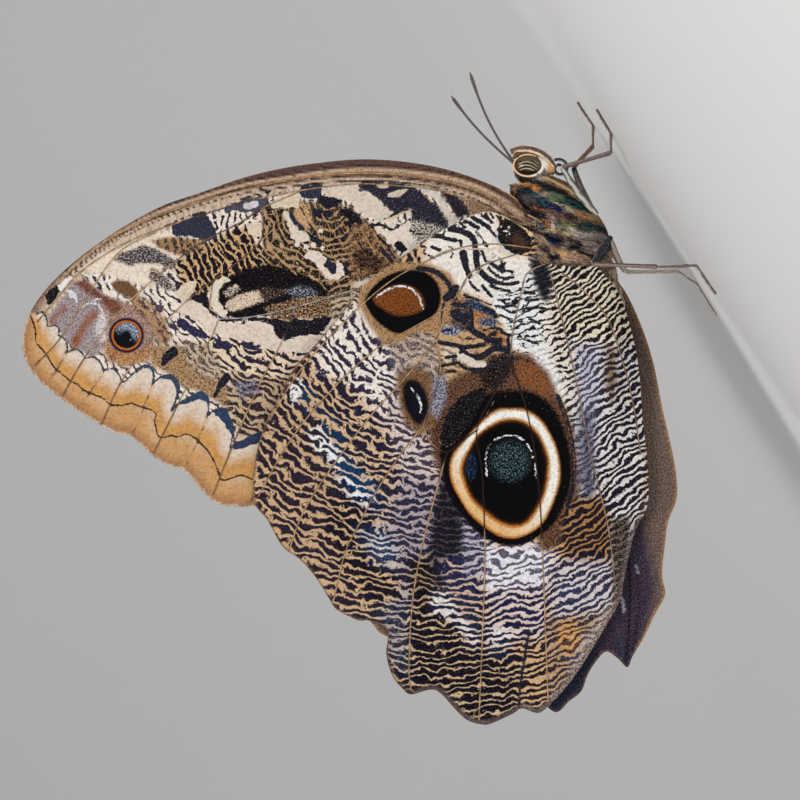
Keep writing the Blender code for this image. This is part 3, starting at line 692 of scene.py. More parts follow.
SECOND_SPOT = [
    (366, 299), (374, 287), (386, 277), (402, 271), (420, 271), (432, 277), (439, 288), (440, 302),
    (434, 314), (424, 321), (412, 327), (400, 333), (388, 329), (377, 320), (370, 311),
]
SECOND_CORE = [
    (372, 300), (380, 291), (392, 285), (404, 284), (415, 288), (423, 297), (425, 308), (418, 313),
    (406, 316), (394, 315), (382, 309),
]
# A white arc in the upper eyespot: partly white scales, partly painted highlight.
SECOND_ARC_AND_HIGHLIGHT = [
    (376, 297), (382, 293), (388, 289), (395, 287), (403, 286), (410, 288), (416, 293), (420, 299),
    (423, 309),
]
THIRD_SPOT = [
    (403, 385), (410, 379), (418, 381), (425, 390), (429, 403), (427, 416), (419, 425), (411, 418),
    (404, 404),
]
# A white arc in the small navy spot: partly white scales, partly painted highlight.
THIRD_ARC_AND_HIGHLIGHT = [(411, 388), (415, 392), (418, 397), (421, 404), (420, 414)]

# Outline, softness in mm, light, dark, share of dark, how much the ripples break, how speckled
HIND_TINTS = [
    ([(250, 440), (330, 330), (360, 300), (420, 250), (500, 250), (520, 420), (440, 640), (390, 660),
     (330, 610)], 3.5, 0xD4B490, 0x302A3E, 0.66, 0.9, 0.0),
    ([(250, 430), (300, 350), (330, 400), (340, 520), (380, 600), (340, 620), (290, 560), (250, 500)],
     3.0, 0xC8A682, 0x382C38, 0.64, 0.9, 0.0),
    ([(312, 340), (335, 312), (360, 300), (385, 335), (398, 348), (404, 372), (398, 402), (384, 424),
     (364, 398), (342, 380), (318, 372)], 1.4, 0xEADED4, 0x46384C, 0.5, 0.85, 0.0),
    ([(352, 306), (366, 302), (380, 322), (398, 334), (388, 342), (370, 330)], 0.6, 0xE2D6CA, 0x967864,
     0.16, 0.9, 0.6),
    ([(384, 338), (402, 334), (440, 330), (440, 380), (420, 372), (400, 384), (392, 360)], 0.9, 0xCEB8A4,
     0x4A3A44, 0.5, 0.9, 0.5),
    ([(385, 385), (400, 388), (410, 420), (436, 446), (440, 500), (425, 524), (405, 484), (388, 434)],
     1.6, 0xDECCC4, 0x46384E, 0.56, 0.8, 0.1),
    ([(400, 474), (438, 480), (440, 560), (428, 620), (396, 640), (384, 600), (370, 552), (385, 520)],
     2.0, 0xBEAEB0, 0x282644, 0.64, 0.8, 0.2),
    ([(330, 500), (356, 498), (384, 520), (398, 560), (400, 600), (374, 606), (346, 570), (326, 530)],
     1.6, 0xCEAC84, 0x1E1A28, 0.74, 0.85, 0.0),
    ([(330, 460), (344, 452), (376, 484), (388, 512), (378, 520), (352, 500), (334, 480)], 1.2, 0xC8B4A0,
     0x202C50, 0.74, 0.8, 0.0),
    ([(354, 528), (384, 524), (402, 548), (396, 572), (372, 562)], 1.2, 0xCEC4BE, 0x22325C, 0.66, 0.8,
     0.2),
    ([(442, 470), (462, 508), (472, 536), (456, 564), (440, 604), (420, 612), (428, 560), (434, 508)],
     0.9, 0x968C8E, 0x201C24, 0.82, 1.0, 0.85),
    ([(408, 560), (430, 556), (440, 600), (452, 636), (430, 650), (412, 610)], 1.2, 0xC8A680, 0x161420,
     0.78, 0.8, 0.2),
    ([(384, 618), (410, 606), (480, 600), (545, 604), (552, 712), (480, 726), (398, 700)], 2.0, 0xD0B08C,
     0x1E1A2C, 0.8, 0.65, 0.0),
    ([(380, 610), (408, 600), (410, 680), (388, 660)], 1.2, 0xCCBAAC, 0x2C3A5C, 0.66, 0.6, 0.3),
    ([(440, 560), (484, 548), (486, 640), (470, 650), (450, 610)], 1.2, 0xD6B89C, 0x262E58, 0.68, 0.6,
     0.1),
    ([(432, 592), (446, 590), (460, 612), (480, 640), (474, 648), (452, 622), (428, 612)], 0.7, 0xE2D8D2,
     0x323250, 0.5, 0.6, 0.0),
    ([(484, 560), (548, 562), (548, 645), (486, 650)], 1.4, 0xD8C4BA, 0x2C2C52, 0.58, 0.5, 0.0),
    ([(474, 536), (500, 546), (542, 542), (556, 556), (546, 588), (486, 590)], 1.3, 0xEEE6EC, 0x423C58,
     0.42, 0.6, 0.15),
    ([(462, 520), (484, 534), (486, 572), (462, 580)], 0.8, 0xCCC2CC, 0x2C2E4E, 0.6, 0.6, 0.3),
    ([(486, 632), (504, 626), (518, 634), (514, 646), (494, 644)], 0.8, 0xE4DAD6, 0x323656, 0.48, 0.6,
     0.0), ([(514, 640), (552, 640), (552, 712), (516, 712)], 1.3, 0xCEA87E, 0x322A36, 0.58, 0.3, 0.0),
    ([(548, 268), (600, 262), (634, 330), (648, 400), (652, 560), (604, 640), (562, 640), (578, 500),
     (574, 420), (556, 330)], 1.0, 0xDED6D0, 0x262232, 0.6, 0.12, 0.0),
    ([(540, 262), (600, 258), (632, 300), (640, 340), (600, 345), (560, 335)], 1.6, 0xDED0B8, 0x1C181E,
     0.56, 0.1, 0.0),
    ([(552, 340), (590, 345), (590, 410), (574, 424), (556, 392), (548, 362)], 1.2, 0xE2D6C8, 0x221E28,
     0.5, 0.5, 0.0),
    ([(516, 262), (540, 258), (550, 300), (556, 350), (540, 352), (526, 330), (518, 298)], 0.9, 0xE8DED4,
     0x1C1A22, 0.3, 0.3, 0.0),
    ([(532, 346), (546, 344), (564, 398), (550, 404), (536, 372)], 0.9, 0xF0EAE4, 0x181822, 0.36, 0.3,
     0.0),
    ([(480, 262), (524, 256), (530, 300), (538, 340), (538, 356), (520, 352), (508, 346), (496, 318)],
     0.7, 0xF4EEE8, 0x22202A, -0.25, 0.0, 0.0),
    ([(486, 276), (506, 264), (530, 262), (536, 286), (542, 330), (542, 352), (524, 350), (512, 336),
     (500, 310)], 0.8, 0xF4EEE8, 0x22202A, 0.34, 0.3, 0.0),
    ([(528, 340), (548, 350), (566, 392), (560, 404), (544, 384), (532, 360)], 0.8, 0xEEE8E2, 0x342C2C,
     0.2, 1.0, 0.6),
    ([(425, 225), (470, 210), (497, 212), (500, 250), (530, 262), (516, 290), (488, 300), (455, 290),
     (425, 262)], 1.0, 0xECE2D8, 0x2C2630, -0.25, 0.0, 0.0),
    ([(440, 298), (462, 292), (480, 300), (498, 316), (508, 334), (512, 352), (500, 372), (470, 380),
     (442, 384), (434, 340)], 0.6, 0xCEA87C, 0x262238, 0.42, 0.75, 0.5),
    ([(440, 298), (456, 296), (464, 300), (460, 314), (444, 322), (436, 318)], 0.5, 0xB88652, 0x46383E,
     0.46, 0.9, 0.8),
    ([(450, 302), (464, 302), (474, 308), (472, 330), (462, 330), (452, 322)], 0.4, 0x968070, 0x1A1E30,
     0.66, 0.9, 0.8),
    ([(466, 300), (478, 301), (492, 310), (494, 318), (482, 314), (470, 308)], 0.25, 0x7084A0, 0x182C4C,
     0.66, 0.9, 0.9),
    ([(473, 309), (482, 313), (492, 316), (490, 322), (480, 328), (473, 322)], 0.25, 0xC8864A, 0x603C2C,
     0.4, 0.9, 0.8),
    ([(478, 319), (492, 317), (498, 322), (494, 327), (480, 325)], 0.25, 0x9696A8, 0x303854, 0.6, 0.9,
     0.9),
    ([(440, 326), (456, 326), (462, 330), (456, 335), (442, 334)], 0.25, 0xB0B8CE, 0x3C4262, 0.56, 0.9,
     0.9),
    ([(480, 330), (500, 330), (508, 342), (500, 348), (488, 342)], 0.3, 0xC48850, 0x32262A, 0.45, 0.9,
     0.7), ([(440, 346), (470, 348), (462, 362), (444, 362)], 0.4, 0xE2CCB4, 0x2C263A, 0.3, 0.7, 0.3),
    ([(438, 396), (452, 378), (480, 364), (508, 352), (530, 354), (548, 372), (560, 398), (574, 430),
     (582, 480), (574, 530), (548, 552), (536, 546), (560, 480), (540, 410), (500, 404), (470, 416),
     (452, 440), (442, 474), (434, 460), (430, 426)], 0.7, 0x7A543E, 0x3A2622, 0.48, 1.0, 1.0),
    ([(526, 358), (546, 372), (556, 396), (540, 396), (520, 384), (514, 366)], 0.9, 0x8C5834, 0x3C261E,
     0.4, 1.0, 1.0),
    ([(492, 356), (508, 352), (512, 372), (500, 388), (484, 390), (480, 372)], 0.7, 0x6E5C4E, 0x1A1212,
     0.66, 1.0, 1.0),
    ([(430, 424), (440, 404), (450, 412), (446, 436), (440, 462), (434, 450)], 0.5, 0x704A32, 0x22181A,
     0.5, 1.0, 1.0),
    ([(396, 372), (416, 366), (436, 378), (440, 400), (434, 428), (420, 436), (404, 422), (398, 398)],
     0.6, 0x8E6848, 0x422E28, 0.45, 1.0, 0.8),
    ([(434, 376), (446, 376), (446, 400), (438, 420), (430, 410)], 0.4, 0xAAA8B2, 0x4E4A5A, 0.5, 1.0,
     0.9),
    ([(360, 284), (395, 262), (425, 262), (450, 272), (460, 290), (446, 322), (438, 334), (416, 332),
     (404, 340), (385, 346), (370, 326), (358, 305)], 0.4, 0xB48C62, 0x704E36, 0.4, 1.0, 0.8),
    # Painted highlight: a bluish-white band along the fold where the hind wing bends over the abdomen.
    ([(576, 346), (598, 346), (598, 400), (592, 480), (584, 498), (578, 440)], 1.6, 0xBEBCC8, 0x42425A,
     0.5, 0.2, 0.15),
    ([(580, 412), (592, 412), (596, 490), (590, 505), (580, 480)], 0.9, 0x807E8C, 0x3C3C50, 0.56, 0.4,
     0.5),
    ([(606, 344), (615, 350), (617, 384), (611, 404), (604, 384)], 0.8, 0x967A64, 0x342826, 0.6, 0.3,
     0.2),
    ([(566, 500), (604, 496), (613, 530), (613, 572), (584, 572), (566, 562), (560, 530)], 0.8, 0xB0804E,
     0x1E1C2C, 0.68, 0.2, 0.1),
    ([(612, 520), (630, 516), (628, 560), (620, 600), (612, 600)], 0.6, 0x968270, 0x221E20, 0.64, 0.3,
     0.7),
    ([(552, 560), (612, 560), (612, 620), (560, 632), (548, 600)], 1.2, 0xD6CCCA, 0x262A4C, 0.56, 0.3,
     0.1), ([(546, 620), (606, 612), (590, 690), (548, 704)], 1.2, 0xC49E7A, 0x322C3A, 0.58, 0.3, 0.2),
    ([(560, 622), (574, 618), (580, 634), (584, 652), (566, 656), (556, 640)], 0.6, 0xD6A068, 0x2C2430,
     0.5, 0.4, 0.2),
    ([(582, 640), (612, 600), (612, 620), (596, 656), (572, 690), (556, 702), (552, 694), (570, 676)],
     0.8, 0xCEBCB2, 0x504246, 0.5, 0.3, 0.5),
    # Dark patch at the wing's root; its grey speckle is partly grey scales and partly painted sheen.
    ([(529, 258), (546, 262), (551, 280), (548, 302), (541, 298), (534, 280)], 0.6, 0x707474, 0x222428,
     0.8, 0.9, 0.9),
]
HIND_DARKS = [
    ([(296, 396), (306, 384), (318, 392), (318, 410), (308, 416)], 0.4, 0x224A64),
    ([(318, 410), (336, 416), (346, 440), (338, 462), (326, 442)], 0.5, 0x224660),
    ([(334, 462), (346, 456), (382, 490), (374, 504), (350, 488)], 0.4, 0x1A4C70),
    ([(384, 348), (392, 346), (402, 354), (406, 372), (398, 378)], 0.3, 0x22365C),
    ([(370, 536), (392, 540), (400, 556), (384, 560)], 0.5, 0x1A3E68),
    ([(464, 604), (476, 606), (480, 630), (466, 630)], 0.5, 0x1E3A60),
    ([(486, 640), (506, 644), (508, 660), (490, 658)], 0.5, 0x22385C),
    ([(560, 580), (578, 580), (578, 600), (562, 600)], 0.5, 0x263864),
    ([(564, 655), (582, 650), (578, 670), (566, 672)], 0.5, 0x224064),
]
HIND_WHITES = [
    [(286, 388), (298, 378), (306, 384), (300, 400), (292, 404)],
    [(308, 430), (320, 424), (330, 440), (346, 458), (340, 470), (322, 456), (310, 444)],
    [(338, 478), (348, 474), (374, 498), (370, 508), (350, 498)],
    [(372, 540), (380, 536), (392, 556), (384, 560)],
]
BAR = 0x1C1C28
HIND_TAIL = [(396, 600), (480, 596), (548, 640), (552, 720), (470, 730), (380, 700)]
HIND_INNER_MARGIN = [
    (620, 275), (628, 300), (638, 340), (646, 400), (648, 470), (642, 520), (628, 575), (600, 640),
    (575, 690),
]
# Painted sheen: a browner middle on the dark oval at the wing's root.
BASAL_SHEEN = [(510, 238), (518, 233), (527, 243), (525, 250), (515, 248)]
CELL_ISLAND = [
    (457, 357), (462, 353), (470, 357), (478, 361), (485, 361), (486, 366), (480, 367), (470, 366),
    (462, 361),
]
HIND_BLOTS = [
    ([(447, 414), (455, 402), (468, 393), (482, 388), (486, 394), (478, 410), (470, 424), (458, 440),
     (446, 448), (441, 436)], 0x0C0A0E),
    ([(497, 232), (500, 222), (508, 220), (520, 226), (530, 238), (530, 250), (518, 255), (506, 250),
     (499, 243)], 0x161110),
]
HIND_STREAKS = [
    ([(432, 236), (440, 236), (448, 239), (456, 240)], 0.28), ([(443, 233), (446, 230)], 0.2),
    ([(450, 229), (458, 230), (466, 233), (472, 237), (475, 243), (475, 247)], 0.4),
    ([(461, 240), (461, 246)], 0.2), ([(452, 226), (455, 224), (457, 228)], 0.17),
    ([(459, 222), (461, 225), (466, 227)], 0.2), ([(464, 221), (470, 223), (474, 226), (479, 228)], 0.25),
    ([(472, 217), (477, 220), (484, 224), (489, 228)], 0.3), ([(489, 228), (493, 233), (497, 238)], 0.18),
    ([(479, 213), (483, 216), (487, 219), (493, 223)], 0.2), ([(476, 231), (480, 236), (483, 241)], 0.15),
    ([(483, 241), (487, 246)], 0.24), ([(485, 213), (488, 218)], 0.15), ([(490, 213), (493, 218)], 0.17),
    ([(496, 215), (500, 220)], 0.18), ([(449, 247), (453, 249)], 0.16), ([(432, 247), (440, 250)], 0.26),
    ([(424, 253), (434, 258)], 0.15), ([(453, 253), (451, 258)], 0.17),
    ([(463, 253), (464, 258), (465, 263)], 0.52), ([(465, 262), (467, 269), (470, 276)], 0.4),
    ([(476, 252), (476, 260), (478, 268)], 0.42), ([(482, 251), (484, 256), (486, 262)], 0.2),
    ([(491, 251), (494, 257)], 0.1), ([(490, 262), (496, 267), (503, 272)], 0.26),
    ([(488, 268), (494, 273), (500, 277), (507, 278), (513, 277)], 0.2),
    ([(499, 257), (502, 262), (501, 266), (505, 270), (513, 272)], 0.19),
    ([(505, 262), (504, 267)], 0.13), ([(481, 272), (487, 278), (493, 281)], 0.42),
    ([(493, 281), (500, 283), (510, 284), (518, 282)], 0.25), ([(503, 280), (508, 280)], 0.12),
    ([(490, 285), (496, 288), (503, 290), (509, 291)], 0.22),
    ([(507, 294), (514, 292), (521, 289)], 0.16), ([(470, 282), (474, 287), (479, 291)], 0.2),
    ([(482, 285), (486, 290), (492, 297)], 0.22), ([(497, 300), (503, 300), (510, 299)], 0.15),
    ([(498, 295), (503, 296)], 0.1), ([(515, 298), (519, 297)], 0.14),
    ([(464, 295), (470, 297), (478, 300)], 0.2), ([(496, 306), (504, 307), (511, 305), (516, 306)], 0.22),
    ([(509, 312), (515, 312)], 0.19), ([(500, 315), (506, 317), (510, 320)], 0.18),
    ([(511, 321), (515, 320)], 0.12), ([(508, 326), (512, 327)], 0.12),
    ([(500, 329), (506, 334), (512, 335)], 0.22),
    ([(521, 313), (524, 309), (530, 308), (538, 307), (546, 309)], 0.2), ([(518, 321), (522, 321)], 0.15),
    ([(524, 292), (534, 293)], 0.26), ([(526, 300), (538, 299)], 0.2),
    ([(529, 318), (535, 321), (540, 323)], 0.2), ([(533, 326), (538, 329), (545, 327)], 0.12),
    ([(526, 329), (527, 332)], 0.12),
    ([(517, 338), (520, 335), (522, 338), (530, 341), (539, 344)], 0.16),
    ([(515, 352), (520, 349)], 0.12), ([(525, 351), (532, 354), (539, 358)], 0.1),
    ([(540, 334), (545, 336)], 0.1),
    ([(436, 342), (446, 343), (456, 345), (464, 347), (474, 346), (484, 344)], 0.3),
    ([(446, 357), (456, 356)], 0.24),
    ([(462, 352), (470, 356), (480, 357), (488, 352), (495, 348), (508, 350)], 0.42),
    ([(440, 366), (450, 364), (458, 362), (462, 366), (470, 369), (480, 368), (490, 366), (500, 363),
     (508, 360)], 0.24), ([(445, 371), (455, 371)], 0.2), ([(470, 374), (484, 369)], 0.18),
    ([(508, 338), (510, 352), (512, 362)], 0.26),
    ([(470, 328), (476, 333), (483, 336), (490, 340), (500, 341)], 0.42),
    ([(471, 310), (472, 320), (473, 330)], 0.26), ([(491, 334), (495, 334)], 0.28),
    ([(484, 330), (492, 328), (500, 329)], 0.18), ([(466, 338), (474, 339)], 0.14),
    ([(452, 304), (460, 305), (468, 303)], 0.22), ([(452, 312), (462, 315), (470, 316)], 0.34),
    ([(455, 318), (466, 321)], 0.26), ([(442, 331), (452, 329)], 0.16),
    ([(484, 308), (492, 311), (496, 316)], 0.3), ([(444, 303), (441, 316), (440, 325)], 0.16),
    ([(514, 359), (523, 359), (530, 361)], 0.14),
    ([(418, 268), (432, 270), (442, 276), (450, 286), (455, 298)], 0.34), ([(446, 298), (456, 288)], 0.5),
    ([(510, 358), (503, 375), (493, 395)], 0.14), ([(510, 358), (517, 378), (521, 395)], 0.08),
    ([(558, 396), (567, 420), (573, 450), (574, 480), (568, 506)], 0.3),
    ([(529, 634), (524, 662), (520, 690), (519, 706)], 0.2),
]
HIND_VEIN_TINTS = [
    ([(420, 215), (500, 205), (520, 262), (540, 300), (545, 400), (500, 352), (440, 300)], 0.6, 0xAC8E74),
    ([(546, 262), (620, 270), (650, 400), (648, 520), (600, 620), (560, 600), (580, 480), (556, 360)],
     0.8, 0xB0927C),
    ([(440, 380), (500, 352), (545, 362), (575, 420), (574, 500), (540, 545), (500, 545), (455, 505),
     (436, 440)], 0.6, 0x36261E),
    ([(470, 440), (500, 424), (530, 428), (545, 460), (540, 510), (515, 524), (480, 500)], 0.5, 0x2C2220),
    ([(408, 380), (440, 370), (442, 424), (425, 430)], 0.5, 0x786E6C),
]
# Painted shade and highlights along the folds of the far hind wing's upper side: dark creases and pale
# ridges.
FAR_FOLD_SHADE_AND_HIGHLIGHTS = [
    ([(630, 560), (631, 600), (629, 640), (626, 664)], 0.14, 0x0E0C14),
    ([(638, 570), (640, 610), (634, 650)], 0.1, 0x16121C),
    ([(622, 597), (624, 604), (625, 612)], 0.16, 0xCECED8),
    ([(616, 612), (619, 630), (624, 656)], 0.1, 0x464A5E), ([(637, 566), (639, 574)], 0.1, 0xB4B6C8),
]
VIOLET = [
    (590, 500), (640, 512), (646, 530), (652, 560), (656, 590), (652, 615), (646, 640), (640, 680),
    (620, 760), (480, 760), (480, 600),
]
HIND_THREADS = [
    # Painted highlight: a bluish-white line along the lower left of the dark oval at the wing's root.
    ([(497, 231), (497, 239), (501, 246), (506, 251), (514, 255)], 0.12, 0xCED8E2),
    ([(499, 213), (508, 218), (516, 222), (524, 228), (531, 236)], 0.2, 0xE2C096),
    ([(500, 227), (503, 226)], 0.1, WHITE), ([(504, 231), (509, 230)], 0.13, WHITE),
    ([(506, 235), (510, 234)], 0.1, WHITE), ([(508, 227), (511, 226)], 0.09, WHITE),
    ([(502, 222), (503, 223)], 0.07, CREAM),
    ([(488, 251), (497, 247), (505, 254), (514, 256), (520, 259)], 0.2, 0xECD6BA),
    ([(430, 232), (445, 227), (462, 220), (480, 213), (498, 211)], 0.08, 0xDEBA92),
    ([(432, 259), (445, 251), (470, 249), (492, 249), (497, 243)], 0.12, 0xCEB294),
    ([(497, 254), (488, 262), (476, 273), (466, 282), (458, 290)], 0.15, 0xBEAC9C),
    ([(478, 430), (490, 408), (496, 396)], 0.05, 0x968C86),
    ([(430, 432), (438, 440), (447, 446), (458, 440), (470, 433), (480, 428)], 0.05, 0xAA9E96),
    ([(562, 404), (569, 430), (574, 456), (575, 484)], 0.1, 0x966238),
]


def hind_pattern(p):
    """The underside of a hind wing: fine ripples between the veins, and three eyespots."""
    s = Sheet(p, TAN, NAVY)
    arm = p - plate((535, 205))[0]
    reach = np.hypot(arm[:, 0], arm[:, 1])
    angle = np.degrees(np.arctan2(arm[:, 0], arm[:, 1]))
    pitch = np.interp(angle, [-40, -20, 0, 20, 45, 75, 110], [0.86, 0.88, 1.0, 1.08, 1.2, 1.2, 1.15])
    steps = np.linspace(0.0, 95.0, 400)
    wide = np.interp(steps, [0, 14, 20, 28, 54, 66, 95], [0.9, 0.92, 1.05, 1.16, 1.14, 1.0, 1.0])
    phase = np.interp(reach, steps, np.cumsum(steps[1] / wide)) / pitch
    along = np.radians(angle) * 34.0 / 1.25
    s.tint(np.ones(len(p)), share=0.6, cellular=0.6)
    for loop, soft, light, dark, share, broken, speck in HIND_TINTS:
        s.tint(s.mask(loop, soft), light, dark, share=share, cellular=broken, speck=speck)
    for loop, soft, dark in HIND_DARKS:
        s.tint(s.mask(loop, soft), dark=dark)
    for loop in HIND_WHITES:
        s.tint(s.mask(loop, 0.7), 0xE4E2E0, share=0.6)
    s.dark *= np.array([0.5, 0.52, 0.66, 1.0])
    s.dark *= 1 - 0.35 * s.mask(HIND_TAIL, 2.0)[:, None]
    s.light = np.minimum(s.light * 1.1, 0.9)
    for loop, soft, shade in HIND_VEIN_TINTS:
        wash(s.vein, shade, s.mask(loop, soft))
    for loop, shade in HIND_BLOTS:
        s.draw("ink", loop, shade)
    for line, half in HIND_STREAKS:
        s.draw("ink", line, BAR, half * 1.15)
    # Painted sheen: browns the middle of the dark oval at the wing's root.
    wash(s.ink_colour, 0x422A1E, s.mask(BASAL_SHEEN, 0.4))
    s.draw("pale", CELL_ISLAND, CREAM)
    # The eyespots' white arcs are partly white scales and partly a painted highlight.
    for line, half, shade in HIND_THREADS + [(arc, 0.13, WHITE) for arc in BIG_ARCS_AND_HIGHLIGHTS]:
        s.draw("pale", line, shade, half)
    s.draw("pale", SECOND_ARC_AND_HIGHLIGHT, WHITE, 0.14)
    s.draw("pale", THIRD_ARC_AND_HIGHLIGHT, WHITE, 0.13)
    # Margins.
    s.tint(s.stroke(HIND_INNER_MARGIN, 0.35, 0.35) * 0.6, 0xB68C64, UMBER)
    rim = smooth_path(HIND_OUTLINE, 0.8, closed=True)
    edge = line_distance(p, np.concatenate([rim, rim[:1]]))[0]
    left = smoothstep(20.0, 30.0, p[:, 0])
    s.tint((1 - smoothstep(0.05, 0.35, edge)) * left, 0xCCA47A, 0x5A4032, speck=1.0)
    tail = smoothstep(40.0, 52.0, p[:, 1])
    s.tint((1 - smoothstep(0.3, 1.0, edge)) * tail * (1 - left), 0xA8968A, 0x564846,
           speck=1.0)
    big = ring_field(p, [(BIG_HALO, 1.0), (BIG_OUTER, 0.8), (BIG_INNER, 0.6)])
    second = ring_field(p, [(SECOND_SPOT, 1.0), (SECOND_CORE, 0.6)])
    third = ring_field(p, [(THIRD_SPOT, 1.0)])
    return s, phase, along, (big, second, third)


FORE_WAVE = [
    (30, 316), (34, 326), (35, 334), (35, 341), (39, 346), (44, 352), (48, 358), (53, 366), (58, 371),
    (64, 376), (70, 381), (77, 384), (83, 390), (90, 393), (98, 396), (104, 399), (109, 404), (115, 405),
    (122, 405), (131, 403), (138, 406), (146, 408), (153, 411), (156, 415), (154, 420), (156, 428),
    (158, 436), (164, 437), (171, 435), (177, 437), (184, 434), (190, 435), (196, 439), (201, 444),
    (207, 450), (212, 458), (216, 466), (219, 475), (222, 480), (228, 479), (234, 477), (240, 475),
    (247, 477), (256, 481),
]
FORE_SCALLOPS = [
    (36, 314), (42, 311), (46, 318), (47, 326), (52, 325), (57, 326), (59, 330), (58, 335), (62, 337),
    (66, 342), (67, 347), (67, 352), (71, 350), (76, 349), (81, 352), (85, 358), (89, 357), (94, 357),
    (99, 361), (102, 366), (103, 371), (107, 369), (111, 368), (116, 371), (120, 377), (122, 382),
    (128, 378), (134, 372), (140, 367), (147, 365), (152, 369), (153, 376), (152, 384), (155, 381),
    (160, 377), (166, 375), (172, 375), (176, 380), (178, 387), (176, 398), (171, 411), (178, 404),
    (185, 399), (192, 395), (199, 393), (205, 396), (208, 402), (208, 410), (207, 416), (212, 411),
    (217, 409), (223, 410), (228, 415), (232, 424), (233, 432), (230, 448), (236, 443), (243, 440),
    (250, 436), (264, 431),
]
BORDER_FOLDS = [
    [(47, 327), (44, 345), (34, 366)], [(66, 350), (60, 364), (48, 383)],
    [(86, 358), (76, 374), (60, 397)], [(103, 371), (92, 388), (77, 410)],
    [(122, 382), (114, 398), (100, 422)], [(152, 385), (144, 406), (131, 436)],
    [(171, 411), (163, 432), (152, 455)], [(207, 416), (198, 440), (184, 469)],
    [(230, 448), (221, 472), (211, 491)], [(262, 433), (257, 470), (253, 500)],
]
COSTA_EDGE = [
    (524, 203), (510, 191), (490, 180), (470, 172), (440, 165), (400, 160), (360, 159), (320, 163),
    (280, 170), (240, 178), (200, 190), (160, 204), (120, 224), (90, 244), (60, 272), (38, 300), (24, 328),
]

COSTA_STRIPE = [(505, 186), (470, 175), (430, 169), (390, 168), (350, 169), (310, 173)]
# How far out on the chart, and how wide the front edge's band is there
COSTA_REACH = ([11.2, 20.2, 30.8, 41.2, 50.2, 62.2, 71.2, 80.2], [3.6, 3.45, 3.3, 2.75, 2.2, 2.1, 1.8, 1.2])
HOOK_CLOUD = [
    (110, 283), (118, 279), (128, 281), (135, 287), (139, 293), (134, 298), (124, 296), (116, 292),
]
BEYOND_BORDER = [(280, 560), (100, 560), (-40, 400), (0, 300)]
RUST_STROKES = [
    ([(74, 341), (81, 331), (87, 321), (94, 314)], 0.75), ([(51, 322), (57, 314), (64, 308)], 0.4),
    ([(110, 360), (114, 352), (120, 346)], 0.4), ([(72, 350), (78, 340)], 0.5),
]
# Share of the band's width and colour there
COSTA_BANDS = [
    (0.0, 0x54423E), (0.22, 0x624E4A), (0.29, 0x483226), (0.36, 0x82604C), (0.44, 0xC8AA92),
    (0.54, 0xB6967C), (0.66, 0x9C7A62), (0.71, 0x4C342C), (0.77, 0x543A30), (0.83, 0xB2947C),
    (0.94, 0xD0B8A0), (0.98, 0x3C2A24), (1.1, 0x322420),
]
COSTA_WIDTHS = [(40, 8), (100, 12), (160, 14), (240, 14.7), (300, 18.3), (370, 22), (440, 23), (500, 24)]
COSTA_LINES = [
    (0.12, 0.05, 0x3E2E2C), (0.29, 0.075, 0x3A261E), (0.6, 0.05, 0x785A46), (0.74, 0.1, 0x382622),
    (0.99, 0.09, 0x2A1E1C),
]
COSTA_GLEAMS = [(0.44, 0.11, 0xD0B094), (0.53, 0.05, 0xBE9C7E), (0.9, 0.11, 0xD8BEA2)]
